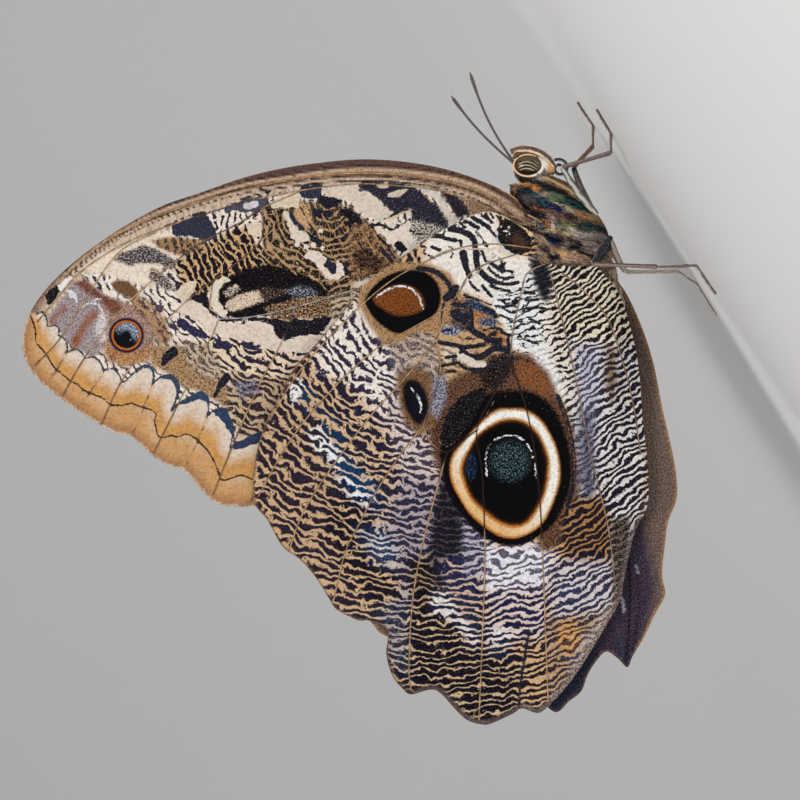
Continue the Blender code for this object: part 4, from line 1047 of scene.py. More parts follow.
# Outline, softness in mm, light, dark, share of dark, how speckled
FORE_TINTS = [
    ([(20, 340), (60, 260), (130, 215), (240, 180), (320, 165), (420, 160), (530, 200), (545, 235),
     (500, 214), (440, 190), (380, 182), (300, 188), (240, 202), (180, 222), (120, 250), (80, 280),
     (40, 345)], 0.3, 0xCEB8A0, 0x705444, 0.3, 0.7),
    ([(176, 262), (200, 246), (226, 232), (244, 226), (262, 250), (262, 276), (230, 276), (206, 296),
     (190, 302), (180, 284)], 0.5, 0xCEA87C, 0x201B26, 0.7, 0.0),
    ([(262, 205), (300, 200), (352, 205), (362, 225), (352, 300), (300, 305), (262, 278)], 0.6, 0xCCA67C,
     0x1C171E, 0.68, 0.35),
    ([(296, 200), (306, 204), (312, 216), (312, 228), (304, 228), (294, 216)], 0.3, 0xCEA87C, 0x9C6E48,
     0.4, 1.0),
    ([(355, 212), (372, 224), (392, 244), (402, 262), (380, 275), (352, 282), (346, 250), (350, 222)],
     0.5, 0xBC926A, 0x3C2A26, 0.55, 0.6),
    ([(356, 248), (368, 246), (384, 262), (376, 272), (360, 268), (352, 258)], 0.4, 0x966E50, 0x1A161C,
     0.66, 0.8),
    ([(358, 184), (364, 181), (385, 181), (408, 184), (420, 190), (430, 200), (440, 208), (446, 218),
     (448, 227), (436, 230), (425, 225), (412, 219), (410, 208), (395, 213), (388, 208), (380, 200),
     (368, 192), (360, 189)], 0.2, 0xB0A49C, 0x323042, 0.78, 1.0),
    ([(412, 218), (446, 226), (440, 236), (418, 240), (408, 230)], 0.3, 0xD6CABC, 0x221E22, 0.5, 1.0),
    ([(441, 190), (455, 194), (462, 200), (470, 213), (458, 218), (452, 208), (446, 200)], 0.2, 0x887C78,
     0x342C36, 0.8, 1.0),
    ([(460, 196), (480, 200), (500, 212), (486, 216), (470, 214)], 0.4, 0xA48468, 0x543E32, 0.4, 1.0),
    ([(420, 186), (433, 186), (440, 195), (446, 203), (452, 212), (459, 219), (451, 223), (446, 216),
     (442, 207), (436, 199), (428, 195)], 0.15, 0xD4C8B8, 0x96887C, 0.25, 1.0),
    ([(80, 268), (100, 254), (135, 240), (180, 226), (176, 250), (160, 270), (150, 288), (135, 283),
     (118, 277)], 0.5, 0xE6D6C4, 0xA88A6E, 0.2, 1.0),
    ([(112, 260), (120, 252), (132, 249), (142, 244), (155, 248), (166, 254), (178, 262), (172, 270),
     (160, 264), (148, 263), (138, 263), (130, 266), (120, 262)], 0.25, 0xBCACA0, 0x3C3E4C, 0.6, 1.0),
    ([(150, 266), (158, 270), (168, 278), (174, 286), (168, 291), (158, 285), (148, 278)], 0.25, 0xBEAC9E,
     0x38323E, 0.56, 1.0),
    ([(150, 240), (172, 236), (205, 240), (200, 250), (180, 256), (160, 248)], 0.3, 0xBE966E, 0x32282C,
     0.58, 0.5),
    ([(47, 318), (60, 300), (72, 282), (88, 280), (104, 300), (114, 318), (108, 345), (92, 357),
     (75, 349), (62, 335), (50, 325)], 0.4, 0xAA9C9E, 0x968080, 0.45, 1.0),
    ([(100, 300), (120, 300), (150, 310), (158, 330), (150, 360), (120, 366), (104, 356), (104, 330)],
     0.6, 0xB8988C, 0x9C786E, 0.5, 1.0),
    ([(74, 282), (84, 279), (100, 292), (116, 300), (124, 309), (112, 314), (100, 300), (86, 293)], 0.3,
     0x8C5842, 0x68463E, 0.5, 1.0),
    ([(128, 292), (150, 300), (165, 318), (172, 340), (160, 345), (145, 318), (130, 306)], 0.5, 0xB8906E,
     0x423234, 0.5, 0.4),
    ([(150, 345), (190, 345), (225, 372), (230, 410), (200, 392), (178, 384), (165, 372), (150, 364)],
     0.5, 0xBC966C, 0x543E36, 0.45, 0.9),
    ([(180, 340), (225, 345), (232, 372), (215, 380), (190, 368)], 0.5, 0xD4BCA2, 0x3A2E38, 0.52, 0.4),
    ([(104, 336), (114, 350), (134, 353), (152, 344), (146, 360), (122, 366), (106, 354)], 0.5, 0xC89260,
     0x8C6246, 0.45, 1.0),
    ([(98, 312), (106, 314), (106, 340), (100, 342), (94, 330)], 0.4, 0xD8D0D0, 0xB4A4A4, 0.4, 1.0),
    ([(205, 336), (300, 344), (296, 420), (262, 432), (236, 400), (214, 352)], 0.6, 0xE2CCB0, 0x342C42,
     0.52, 0.0),
    ([(232, 372), (300, 380), (270, 430), (238, 440), (225, 400)], 0.6, 0xCEB08E, 0x2C2434, 0.62, 0.15),
    ([(232, 382), (256, 380), (262, 392), (240, 398)], 0.4, 0xB4A8B0, 0x383658, 0.6, 0.6),
    ([(218, 290), (226, 278), (245, 268), (270, 264), (300, 272), (330, 286), (328, 296), (300, 304),
     (268, 314), (240, 318), (226, 316), (218, 305)], 0.2, 0xBC9266, 0x100E1A, 0.86, 1.0),
    ([(224, 306), (228, 299), (238, 294), (252, 290), (268, 288), (280, 290), (274, 298), (256, 304),
     (240, 310), (230, 312)], 0.25, 0xDEC6B0, 0x46383A, 0.36, 1.0),
    ([(258, 289), (276, 286), (290, 290), (280, 298), (264, 302)], 0.3, 0x967864, 0x1C1822, 0.62, 1.0),
    # A bluish-white patch in the teardrop mark: partly pale scales, partly painted sheen.
    ([(284, 290), (298, 284), (312, 287), (320, 294), (310, 298), (294, 298)], 0.35, 0xC4CAD0, 0x343A48,
     0.62, 1.0),
    ([(268, 306), (290, 299), (318, 296), (326, 298), (300, 306), (272, 314)], 0.25, 0xCE9E6A, 0x281E1E,
     0.5, 1.0),
    ([(222, 292), (228, 286), (236, 284), (242, 288), (234, 294), (226, 298)], 0.15, 0xD6C4B2, 0x1E1A22,
     0.5, 1.0),
    ([(262, 306), (300, 308), (345, 298), (338, 314), (318, 320), (300, 318), (290, 322), (272, 320)],
     0.25, 0xCCA67C, 0x221C20, 0.55, 1.0),
    ([(270, 304), (300, 300), (345, 290), (340, 308), (318, 314), (282, 314)], 0.3, 0xBE966C, 0x1E1A1E,
     0.55, 1.0),
    ([(330, 300), (362, 290), (366, 302), (345, 320), (332, 318)], 0.3, 0xD6BEA0, 0x30262A, 0.5, 0.2),
    ([(500, 204), (530, 205), (562, 214), (562, 246), (530, 246), (508, 226)], 0.4, 0x9C7A5E, 0x26222A,
     0.6, 1.0),
]
FORE_VEIN_TINTS = [
    ([(24, 330), (34, 312), (60, 330), (110, 368), (180, 400), (262, 434), (262, 520), (60, 480)], 0.5,
     0x926C4E), ([(214, 312), (300, 304), (350, 286), (366, 296), (300, 316), (220, 324)], 0.3, 0xBAB6B4),
    ([(270, 316), (300, 312), (300, 336), (280, 338)], 0.3, 0x3C3232),
    ([(180, 210), (260, 196), (270, 240), (200, 300), (176, 296)], 0.6, 0x785C46),
    ([(340, 184), (440, 190), (470, 220), (430, 260), (370, 250)], 0.6, 0x826854),
]
# Dark marks, and their colour
FORE_BLOTS = [
    ([(171, 226), (180, 221), (192, 216), (204, 212), (210, 219), (214, 227), (216, 237), (208, 240),
     (200, 238), (186, 236), (176, 236)], 0x2E3042),
    ([(298, 191), (303, 186), (312, 184), (322, 184), (323, 190), (320, 197), (310, 198), (302, 197)],
     0x2C3044),
    ([(222, 210), (230, 204), (240, 200), (255, 197), (267, 196), (269, 200), (262, 207), (254, 211),
     (244, 212), (236, 210), (228, 212)], 0x4A4C5A),
    ([(262, 318), (270, 324), (276, 334), (283, 340), (292, 337), (306, 335), (318, 334), (326, 327),
     (331, 318), (324, 316), (306, 320), (296, 317), (288, 322), (276, 318)], 0x12101C),
    ([(218, 318), (240, 318), (268, 317), (268, 320), (240, 321), (219, 321)], 0x121016),
    ([(188, 299), (200, 294), (208, 292), (210, 305), (218, 318), (208, 313), (198, 304)], 0x16141C),
    ([(161, 365), (162, 357), (167, 350), (175, 346), (179, 351), (172, 358), (166, 364)], 0x181828),
    ([(212, 398), (216, 388), (219, 380), (224, 374), (231, 374), (227, 382), (221, 389), (216, 397)],
     0x1C1A26),
    ([(45, 300), (45, 295), (50, 288), (57, 284), (60, 287), (59, 292), (54, 299), (50, 305), (47, 304)],
     SOOT),
    ([(340, 208), (350, 209), (358, 214), (363, 222), (354, 222), (350, 229), (347, 218), (340, 214)],
     0x14121A), ([(318, 197), (335, 196), (343, 200), (338, 205), (330, 208), (322, 206)], 0x181824),
    ([(310, 206), (322, 210), (334, 212), (330, 218), (316, 216)], 0x1A1A28),
    ([(288, 208), (293, 214), (298, 222), (306, 228), (303, 231), (295, 225), (289, 216)], 0x22283C),
    ([(306, 232), (314, 235), (322, 242), (318, 245), (310, 240)], 0x1C1E2C),
    ([(327, 258), (333, 262), (338, 268), (334, 276), (328, 268)], 0x1E223A),
    ([(342, 260), (348, 268), (352, 276), (347, 275), (342, 267)], 0x1C1C2C),
    ([(393, 243), (400, 240), (405, 245), (408, 250), (401, 251), (396, 247)], SOOT),
    ([(419, 243), (427, 240), (433, 244), (431, 249), (422, 250)], 0x544648),
    ([(380, 246), (390, 250), (396, 257), (392, 262), (384, 254)], 0x2E2836),
    ([(176, 320), (182, 318), (192, 325), (203, 332), (206, 338), (196, 337), (186, 331), (178, 326)],
     0x2C2848), ([(169, 322), (176, 325), (178, 331), (171, 328)], 0x383048),
    ([(156, 304), (163, 306), (162, 312), (155, 310)], 0x4E4054),
    ([(213, 337), (222, 340), (233, 344), (230, 349), (218, 346)], 0x2C2844),
    ([(242, 341), (255, 345), (263, 350), (252, 350), (242, 346)], 0x2C2844),
    ([(128, 378), (136, 370), (146, 364), (153, 368), (155, 379), (150, 370), (144, 368), (136, 373)],
     0x3A4658),
    ([(160, 378), (168, 374), (175, 376), (180, 386), (177, 400), (175, 388), (171, 380), (165, 379)],
     0x364256),
    ([(178, 403), (190, 396), (200, 391), (208, 396), (210, 405), (203, 400), (195, 400), (185, 404)],
     0x30425E),
    ([(213, 411), (219, 408), (226, 410), (233, 424), (234, 437), (228, 430), (222, 420), (216, 415)],
     0x2A3C5C),
    ([(231, 448), (240, 442), (250, 436), (260, 432), (261, 441), (250, 445), (240, 449)], 0x2A3858),
]
FORE_STREAKS = [
    (FORE_WAVE, 0.12, 0x2C1E20), (FORE_SCALLOPS, 0.13, 0x383C4A),
    ([(446, 187), (420, 183), (400, 181), (380, 180), (362, 181)], 0.14, 0x1E181A),
    ([(322, 184), (312, 183), (303, 186)], 0.16, 0x1E181A),
    ([(204, 211), (190, 215), (172, 222), (164, 226)], 0.14, 0x281E1E),
    ([(270, 191), (255, 194), (240, 199)], 0.14, 0x1A161A),
    ([(282, 190), (276, 196), (268, 203), (260, 210), (248, 217), (238, 225)], 0.12, 0x221A1A),
    ([(371, 225), (380, 224), (387, 227), (393, 229), (400, 226), (410, 219)], 0.22, 0x181824),
    ([(372, 226), (376, 233), (382, 240), (390, 247)], 0.22, 0x18161E),
    ([(383, 219), (392, 215), (400, 211), (408, 209)], 0.2, 0x1A1A26),
    ([(398, 205), (412, 203), (420, 206)], 0.25, 0x222230),
    ([(410, 222), (409, 228), (414, 232), (424, 234)], 0.18, SOOT),
    ([(352, 214), (364, 232), (378, 248), (392, 262)], 0.13, 0x281C1C),
    ([(344, 220), (356, 238), (368, 256), (376, 270)], 0.12, 0x241A1C),
    ([(362, 216), (376, 232), (392, 248)], 0.1, 0x2C201E),
    ([(328, 208), (336, 222), (346, 238)], 0.12, 0x1E181E),
    ([(300, 206), (308, 222), (318, 236)], 0.14, 0x1C1822),
    ([(360, 272), (368, 276), (374, 281)], 0.15, 0x1E1A22),
    ([(67, 352), (53, 370), (47, 386)], 0.06, 0x9E724C),
    ([(103, 371), (93, 392), (82, 412)], 0.06, 0x9E724C),
    ([(152, 385), (143, 406), (133, 436)], 0.06, 0x9E724C),
    ([(207, 416), (197, 440), (185, 470)], 0.06, 0x9E724C),
    ([(230, 448), (219, 475), (211, 492)], 0.06, 0x9E724C), ([(44, 352), (34, 366)], 0.06, 0x9E724C),
]
FORE_ISLANDS = [
    ([(228, 277), (233, 279), (225, 282), (222, 286), (219, 292), (218, 300), (221, 305), (227, 312),
     (226, 315), (218, 315), (212, 308), (208, 300), (208, 292), (212, 284), (219, 278)], 0xE8DAC8),
    ([(232, 285), (236, 283), (238, 287), (234, 288)], 0xD6C4B0),
    ([(283, 210), (288, 211), (290, 217), (294, 223), (300, 229), (308, 234), (310, 238), (304, 242),
     (296, 240), (290, 236), (289, 229), (286, 220), (282, 214)], 0xE4D4C2),
    ([(296, 240), (300, 243), (298, 247), (294, 244)], CREAM),
    ([(304, 244), (309, 245), (308, 249), (303, 248)], CREAM),
    ([(311, 241), (316, 243), (315, 248), (311, 246)], CREAM),
    ([(321, 245), (325, 247), (323, 250), (320, 248)], CREAM),
    ([(318, 228), (323, 229), (323, 232), (319, 232)], CREAM),
    ([(306, 252), (314, 250), (320, 252), (326, 258), (324, 264), (328, 270), (332, 274), (337, 272),
     (336, 262), (339, 260), (344, 268), (344, 274), (338, 279), (330, 280), (322, 273), (316, 264),
     (310, 259), (304, 256)], 0xE8D8C8),
    ([(270, 206), (277, 197), (288, 191), (298, 190), (300, 198), (297, 207), (288, 207), (280, 207)],
     0xE4D0B6),
    ([(323, 186), (335, 184), (358, 183), (358, 190), (368, 192), (378, 200), (384, 206), (391, 212),
     (386, 217), (377, 221), (366, 215), (356, 208), (350, 202), (340, 198), (330, 196), (322, 193)],
     0xE0D0BE), ([(376, 184), (388, 183), (389, 187), (381, 188)], 0xD6C4B0),
    ([(388, 193), (400, 189), (409, 188), (404, 193), (396, 197), (388, 196)], 0xD2C2B0),
    ([(374, 226), (379, 227), (386, 230), (394, 230), (400, 227), (408, 221), (411, 226), (408, 231),
     (414, 238), (418, 246), (412, 249), (407, 247), (402, 241), (396, 239), (391, 244), (387, 241),
     (384, 236), (378, 232)], 0xE8DACA),
    ([(384, 220), (392, 217), (398, 219), (396, 225), (390, 226)], 0xE4D4C2),
    ([(404, 252), (415, 250), (428, 252), (438, 257), (424, 259), (410, 257)], 0xEEE6DE),
    ([(244, 203), (250, 201), (258, 200), (258, 205), (250, 209), (243, 208)], 0xD8D0D2),
    ([(246, 226), (252, 222), (260, 222), (261, 232), (256, 237), (249, 234)], 0xE0CEB6),
    ([(186, 300), (200, 303), (214, 317), (219, 322), (240, 323), (262, 322), (272, 330), (281, 341),
     (300, 337), (318, 336), (313, 347), (298, 352), (282, 351), (268, 350), (256, 344), (240, 340),
     (226, 336), (214, 333), (206, 329), (198, 321), (188, 316), (178, 313), (180, 304)], 0xE4D2C2),
    ([(57, 284), (61, 279), (66, 277), (72, 276), (70, 281), (66, 286), (61, 291), (59, 290)], WHITE),
    ([(67, 293), (71, 291), (76, 294), (74, 298), (69, 297)], 0xDEDEE2),
    ([(352, 294), (358, 296), (364, 302), (360, 306), (354, 302)], 0xECE4DC),
    ([(180, 286), (196, 280), (190, 296), (184, 300), (176, 296)], 0xE2CEB6),
]
FORE_THREADS = [
    ([(510, 210), (495, 203), (475, 195), (455, 189)], 0.12, 0xA88668),
    ([(518, 200), (510, 194), (500, 189)], 0.14, 0xC49262),
    ([(266, 214), (270, 226), (276, 238), (286, 250)], 0.09, 0xCEA87E),
    ([(264, 232), (270, 246), (280, 258), (292, 270)], 0.09, 0xCEA87E),
    ([(280, 246), (292, 258), (304, 270), (314, 280)], 0.08, 0xCEA87E),
    ([(312, 222), (318, 234), (328, 246)], 0.08, 0xC49668),
    ([(322, 214), (330, 228), (342, 244), (352, 258)], 0.1, 0xBE8E62),
    ([(334, 212), (344, 226), (356, 242), (366, 256)], 0.1, 0xBA885C),
    ([(272, 210), (280, 228), (288, 244), (298, 256)], 0.06, 0xDEC29E),
    ([(392, 218), (402, 213), (412, 209)], 0.16, 0xD6BE9E),
    ([(80, 272), (86, 275), (92, 274), (98, 277), (104, 281), (109, 284), (112, 288), (116, 294),
     (121, 298), (127, 299), (131, 303)], 0.14, 0xEEE8E4),
    ([(138, 297), (145, 302), (150, 309), (157, 315), (161, 322)], 0.1, 0xE8D6C4),
    ([(82, 307), (87, 303), (94, 303), (100, 307), (103, 315)], 0.14, 0xECE8E6),
    ([(62, 296), (65, 291), (71, 291), (75, 296), (76, 302)], 0.16, 0xECE8E8),
    ([(92, 302), (96, 298), (101, 299)], 0.08, 0xE2DCDE),
    ([(206, 244), (212, 252), (216, 262), (218, 272)], 0.1, 0xCEA474),
    ([(214, 240), (221, 248), (226, 258), (230, 266)], 0.1, 0xCEA474),
    ([(231, 232), (236, 242), (242, 250), (246, 256)], 0.12, 0xCEA474),
    ([(172, 268), (180, 278), (186, 288), (192, 297)], 0.1, 0xCEAA7E),
    ([(300, 268), (312, 276), (322, 284), (330, 294)], 0.12, 0xC49E74),
    ([(262, 240), (270, 250), (284, 262), (296, 274)], 0.14, 0xC49868),
    ([(372, 228), (380, 242), (390, 254), (398, 266)], 0.12, 0xC49866),
    ([(360, 226), (368, 240), (376, 254)], 0.12, 0xBE9262),
]


def front_line(share):
    """A line along the front edge, at some share of its band's width."""
    path = np.array(COSTA_EDGE[1:-2], dtype=float)
    run = np.gradient(path, axis=0)
    run /= np.linalg.norm(run, axis=1)[:, None]
    wide = np.interp(path[:, 0], [x for x, _ in COSTA_WIDTHS], [w for _, w in COSTA_WIDTHS])
    return [tuple(q) for q in path + np.column_stack([run[:, 1], -run[:, 0]]) * (wide * share)[:, None]]


def fore_pattern(p):
    """The underside of a fore wing: a clouded middle, and a pale scalloped border."""
    s = Sheet(p, CREAM, 0x382E3C)
    arm = p - plate((330, 200))[0]
    phase = np.hypot(arm[:, 0], arm[:, 1]) / 1.08
    along = np.arctan2(arm[:, 0], arm[:, 1]) * 26.0 / 1.08
    s.tint(np.ones(len(p)), share=0.35, cellular=1.0)
    for loop, soft, light, dark, share, speck in FORE_TINTS:
        s.tint(s.mask(loop, soft), light, dark, share=share, speck=speck)
    s.tint(s.stroke(COSTA_EDGE, 0.55, 0.35) * smoothstep(45.0, 35.0, p[:, 0]), 0x6C5C56,
           0x423430, share=0.5, speck=1.0)
    s.tint(s.stroke(COSTA_STRIPE, 0.5, 0.3), 0xC49262, 0x78543C, share=0.4, speck=1.0)
    for line, half in RUST_STROKES:
        s.tint(s.stroke(line, half * 0.8, 0.5) * 0.8, 0x9C562E, 0x864C2C)
    s.dark *= 0.6
    s.light = np.minimum(s.light * 1.08, 0.9)
    for loop, soft, shade in FORE_VEIN_TINTS:
        wash(s.vein, shade, s.mask(loop, soft))
    # Lengthwise bands and lines of the thick front edge.
    for share, half, shade in COSTA_LINES:
        s.draw("ink", front_line(share), shade, half)
    for share, half, shade in COSTA_GLEAMS:
        s.draw("pale", front_line(share), shade, half)
    wide = np.interp(p[:, 0], *COSTA_REACH)
    from_edge = line_distance(p, smooth_path(plate(*COSTA_EDGE), 0.6))[0] / wide
    front = smoothstep(1.05, 1.0, from_edge) * smoothstep(5.0, 9.0, p[:, 0])
    front *= smoothstep(83.5, 81.0, p[:, 0])
    places = [stop for stop, _ in COSTA_BANDS]
    band = np.stack([np.interp(from_edge, places, [paint(shade)[k] for _, shade in COSTA_BANDS])
                     for k in range(4)], axis=1)
    wash(band, 0xB09680, smoothstep(46.0, 60.0, p[:, 0]) * 0.5)
    s.light += (np.minimum(band * 1.25, 0.9) - s.light) * front[:, None]
    s.dark += (band * 0.7 - s.dark) * front[:, None]
    s.tint(front, share=0.5, speck=1.0)
    s.tint(s.mask(HOOK_CLOUD, 0.12), 0x7A583A, 0x4E362A, share=0.4, speck=1.0)
    # The border beyond the scallops runs from cream to orange, then to an even tan.
    in_border = smoothstep(-0.02, 0.08, depth_in(p, plate(*(FORE_SCALLOPS + BEYOND_BORDER))))
    past = smoothstep(-0.05, 0.08, depth_in(p, plate(*(FORE_WAVE + BEYOND_BORDER))))[:, None]
    to_scallop = line_distance(p, plate(*FORE_SCALLOPS))[0]
    to_wave = line_distance(p, plate(*FORE_WAVE))[0]
    fade = smoothstep(0.13, 0.82, to_scallop / (to_scallop + to_wave + 1e-6))
    lobe = between(0xE2D2C2, 0xD09A5A, np.minimum(fade * 1.15, 1.0))
    edge_path = smooth_path(FORE_OUTLINE, 0.8, closed=True)
    edge = line_distance(p, np.concatenate([edge_path, edge_path[:1]]))[0]
    band = spread(0xCE9E6A, len(p))
    wash(band, 0xAE7E54, smoothstep(2.2, 0.3, edge))
    for line in BORDER_FOLDS:
        wash(lobe, 0xD4A266, s.stroke(line, 0.25, 0.5) * 0.75)
    glow = 0.5 * np.exp(-((to_wave - 0.5) / 0.7) ** 2) * (0.5 + 0.5 * np.sin(p[:, 0] * 0.9))
    wash(band, 0xD6BEA4, glow)
    lobe += (band - lobe) * past
    s.tint(in_border, share=0.2, speck=1.0)
    s.light += (lobe - s.light) * in_border[:, None]
    s.dark += (lobe * 0.6 - s.dark) * in_border[:, None]
    s.tint(smoothstep(0.35, 0.1, edge), 0x846248, 0x543C30)
    s.tint(smoothstep(0.24, 0.12, edge) * in_border, 0xE2D0B8, 0x6E503C, share=0.5)
    for loop, shade in FORE_BLOTS:
        s.draw("ink", loop, shade)
    for line in BORDER_FOLDS[1::2]:
        s.draw("ink", line, 0x805A3C, 0.085)
    for line, half, shade in FORE_STREAKS:
        s.draw("ink", line, shade, half)
    for loop, shade in FORE_ISLANDS:
        s.draw("pale", loop, shade)
    for line, half, shade in FORE_THREADS:
        s.draw("pale", line, shade, half)
    # The small eyespot, and the side of it that shines, where a painted highlight lies on the pupil's edge.
    arm = p - plate((126, 335))[0]
    spot = np.hypot(arm[:, 0], arm[:, 1]) / 2.7
    shine = (arm[:, 0] * -0.45 + arm[:, 1] * -0.9) / 2.0
    return s, phase, along, (spot, shine, np.full(len(p), NO_SPOT))


def under_material(name, spots):
    """Ripples, marks and eyespots of a wing's underside, all read from the points of its chart."""
    n = Nodes(name, 0.75, Specular_IOR_Level=0.06)
    place = n.field("chart")
    phase, along, share = n.split(n.field("flow"))
    cellular, strength, speckled = n.split(n.field("mode"))
    ink, pale, vein = n.split(n.field("marks"))
    light = n.field("light", "Color")
    dark = n.field("dark", "Color")
    slow = n.noise(place, 0.25) - 0.5
    quick = n.noise(place, 0.8, 2.0, 0.6) - 0.5
    fine = n.noise(place, 3.2, 3.0, 0.65) - 0.5
    grit = n.noise(place, 4.6, 2.0, 0.7) - 0.5
    # Rows of ripples, broken along the row where the pattern is cellular.
    bent = phase + (slow * 3.4 + quick * 1.1)
    saw = n.math("FRACT", bent)
    band = 0.5 - n.math("ABSOLUTE", saw - 0.5)
    shift = n.add("ShaderNodeTexWhiteNoise", "Value", {"W": n.math("FLOOR", bent)}, noise_dimensions="1D")
    cross = (along * 0.32 + shift * 7.0) + (saw * 0.22 + quick * 0.5)
    ends = 0.5 - n.math("ABSOLUTE", n.math("FRACT", cross) - 0.5)
    loose = n.smooth(0.54, 0.66, n.noise(place, 0.55, 1.0))
    brick = n.math("MINIMUM", band, ends * 3.4 + loose * 0.5)
    depth = n.blend(cellular, band, brick) + (fine * 0.24 + grit * 0.44) + quick * 0.2
    gap = 0.5 - share * 0.5
    rippled = n.smooth(gap - 0.035, gap + 0.035, depth) * strength
    level = (share - 0.5) * 0.5 + 0.5
    mottled = n.smooth(0.96 - level, 1.04 - level, n.noise(place, 3.6, 3.0, 0.75))
    rippled = n.blend(speckled, rippled, mottled * strength)
    # Single scales of the other shade.
    speck = n.noise(place, 4.4, 2.0, 0.8)
    dark = n.mix(n.smooth(0.6, 0.7, speck), dark, n.mix(0.3, dark, light))
    light = n.mix(n.smooth(0.6, 0.7, n.noise(place, 3.7, 2.0, 0.8)), light, n.mix(0.4, light, dark))
    base = n.mix(rippled, light, dark)
    for value, draw in zip(n.split(n.field("rings")), spots):
        base = draw(n, base, value, place, fine)
    # Dark marks, then pale marks, then veins.
    ragged = (fine * 0.34 + quick * 0.3) + grit * 0.2
    ink_colour = n.field("ink", "Color")
    ink_colour = n.mix(n.smooth(0.575, 0.66, speck), ink_colour, n.mix(0.36, ink_colour, 0xB0A4A0))
    base = n.mix(n.smooth(-0.05, 0.05, ink + ragged), base, ink_colour)
    pale_colour = n.field("pale", "Color")
    dusted = n.smooth(0.6, 0.68, n.noise(place, 3.3, 3.0, 0.75))
    pale_colour = n.mix(dusted, pale_colour, n.mix(0.35, pale_colour, 0x785C4C))
    base = n.mix(n.smooth(-0.05, 0.05, pale + ragged), base, pale_colour)
    vein_colour = n.field("vein", "Color")
    vein_colour = n.mix(n.smooth(0.42, 0.6, n.noise(place, 0.9)), n.mix(0.5, vein_colour, 0x281C18),
                        vein_colour)
    base = n.mix(n.smooth(0.21, 0.13, vein), base, n.mix(0.38, base, 0x281C1A))
    base = n.mix(n.smooth(0.115, 0.055, vein), base, vein_colour)
    scale_value = n.split(n.cells(place, 3.3, "Color"))[0]
    base = n.mix((scale_value - 0.4) * 0.42, base, BLACK)
    n.bump(n.cells(place, 6.0) + n.noise(place, 1.2) * 0.8, 0.35, 0.00012)
    return n.finish(base)


def oval(n, place, centre, half):
    """Distance from the middle of an upright oval on the plate, 1 at its edge."""
    x, y, _ = n.split(place)
    a, b = plate(centre)[0]
    across = (x - float(a)) * (1 / (SQUARE * half[0]))
    down = (y - float(b)) * (1 / (SQUARE * half[1]))
    return n.math("SQRT", across * across + down * down)


def big_spot(n, base, value, place, fine):
    """The great eyespot: soot, a cream ring, and a black middle dusted teal."""
    value = value + fine * 0.035 + (n.noise(place, 1.4) - 0.5) * 0.02
    x, y, _ = n.split(place)
    a, b = plate((508, 470))[0]
    lean = (x - float(a)) * 0.06 + (y - float(b)) * 0.085
    warm = n.smooth(-0.1, 0.9, lean + fine * 0.5)
    cream = n.mix(warm, 0xFAF6EC, 0xE8BE82)
    amber = n.mix(warm, 0xCEA06A, 0xC47C34)
    rings = n.ramp(value, [(0.0, 0x050508), (0.5, 0x050406), (0.56, 0x100907),
                           (0.59, 0x542E12), (0.61, 0x965822)])
    for start, end, shade in ((0.6, 0.625, amber), (0.63, 0.66, cream), (0.74, 0.775, amber),
                              (0.775, 0.8, 0x6E3E18), (0.79, 0.82, 0x080608)):
        rings = n.mix(n.smooth(start, end, value), rings, shade)
    centre, half, patch, patch_half = BIG_DUST
    grains = n.smooth(0.5, 0.6, n.noise(place, 3.3, 2.0, 0.85))
    rings = n.mix(grains * n.smooth(1.0, 0.5, oval(n, place, centre, half)), rings, 0x607C86)
    blue = grains * n.smooth(1.1, 0.7, oval(n, place, patch, patch_half))
    rings = n.mix(blue * n.smooth(0.58, 0.54, value), rings, 0x2C4C70)
    tan = n.smooth(0.66, 0.7, n.noise(place, 6.0, 2.0, 0.7)) * n.smooth(0.6, 0.5, value)
    rings = n.mix(tan * 0.5, rings, 0x5A3E28)
    flecks = n.smooth(0.68, 0.72, n.noise(place, 3.8, 2.0, 0.7)) * n.smooth(0.84, 0.88, value)
    rings = n.mix(flecks, rings, 0x8C827C)
    halo = value + (n.noise(place, 2.2, 3.0, 0.7) - 0.5) * 0.14
    return n.mix(n.smooth(1.03, 0.96, halo), base, rings)


def second_spot(n, base, value, place, fine):
    """The upper eyespot: a black drop filled with rust."""
    value = value + fine * 0.06
    rust = n.mix(n.smooth(0.42, 0.6, n.noise(place, 4.5, 3.0, 0.75)), 0x502810, 0x9C5C2A)
    rings = n.ramp(value, [(0.0, 0x140B0A), (0.62, 0x080608), (1.0, 0x07060A)])
    rings = n.mix(n.smooth(0.64, 0.54, value), rings, rust)
    return n.mix(n.smooth(1.04, 0.98, value), base, rings)


def third_spot(n, base, value, place, fine):
    """The small navy spot."""
    value = value + fine * 0.1
    rings = n.ramp(value, [(0.0, 0x1A1834), (0.8, 0x141224), (1.0, 0x0E0C12)])
    return n.mix(n.smooth(1.04, 0.96, value), base, rings)


def fore_spot(n, base, value, place, fine):
    """The fore wing's small eyespot: a black pupil with a frosted edge on one side, partly pale scales and
    partly painted highlight, in an orange ring.
    """
    shine = n.split(n.field("rings"))[1]
    value = value + fine * 0.06
    # Pale scales and a painted highlight on the pupil's shining side.
    frost_and_highlight = n.smooth(-0.25, 0.45, shine + fine * 1.6) * n.smooth(0.16, 0.42, value)
    glint = n.smooth(0.5, 0.62, n.noise(place, 4.0, 2.0, 0.8))
    frost_and_highlight = frost_and_highlight * (glint * 0.55 + 0.45)
    middle = n.mix(frost_and_highlight, 0x0E1016, n.mix(glint, 0x8A9EBE, 0xE8ECF4))
    rings = n.ramp(value, [(0.0, 0x0E1016), (0.7, 0x100E14), (0.74, 0xC46C2C),
                           (0.81, 0xBE642C), (0.85, 0x2C1A28), (0.93, 0x302030),
                           (1.0, 0x6E5454)])
    rings = n.mix(n.smooth(0.72, 0.68, value), rings, middle)
    return n.mix(n.smooth(1.06, 0.94, value), base, rings)


def no_spot(n, base, value, place, fine):
    """Leaves the ground as it is."""
    return base


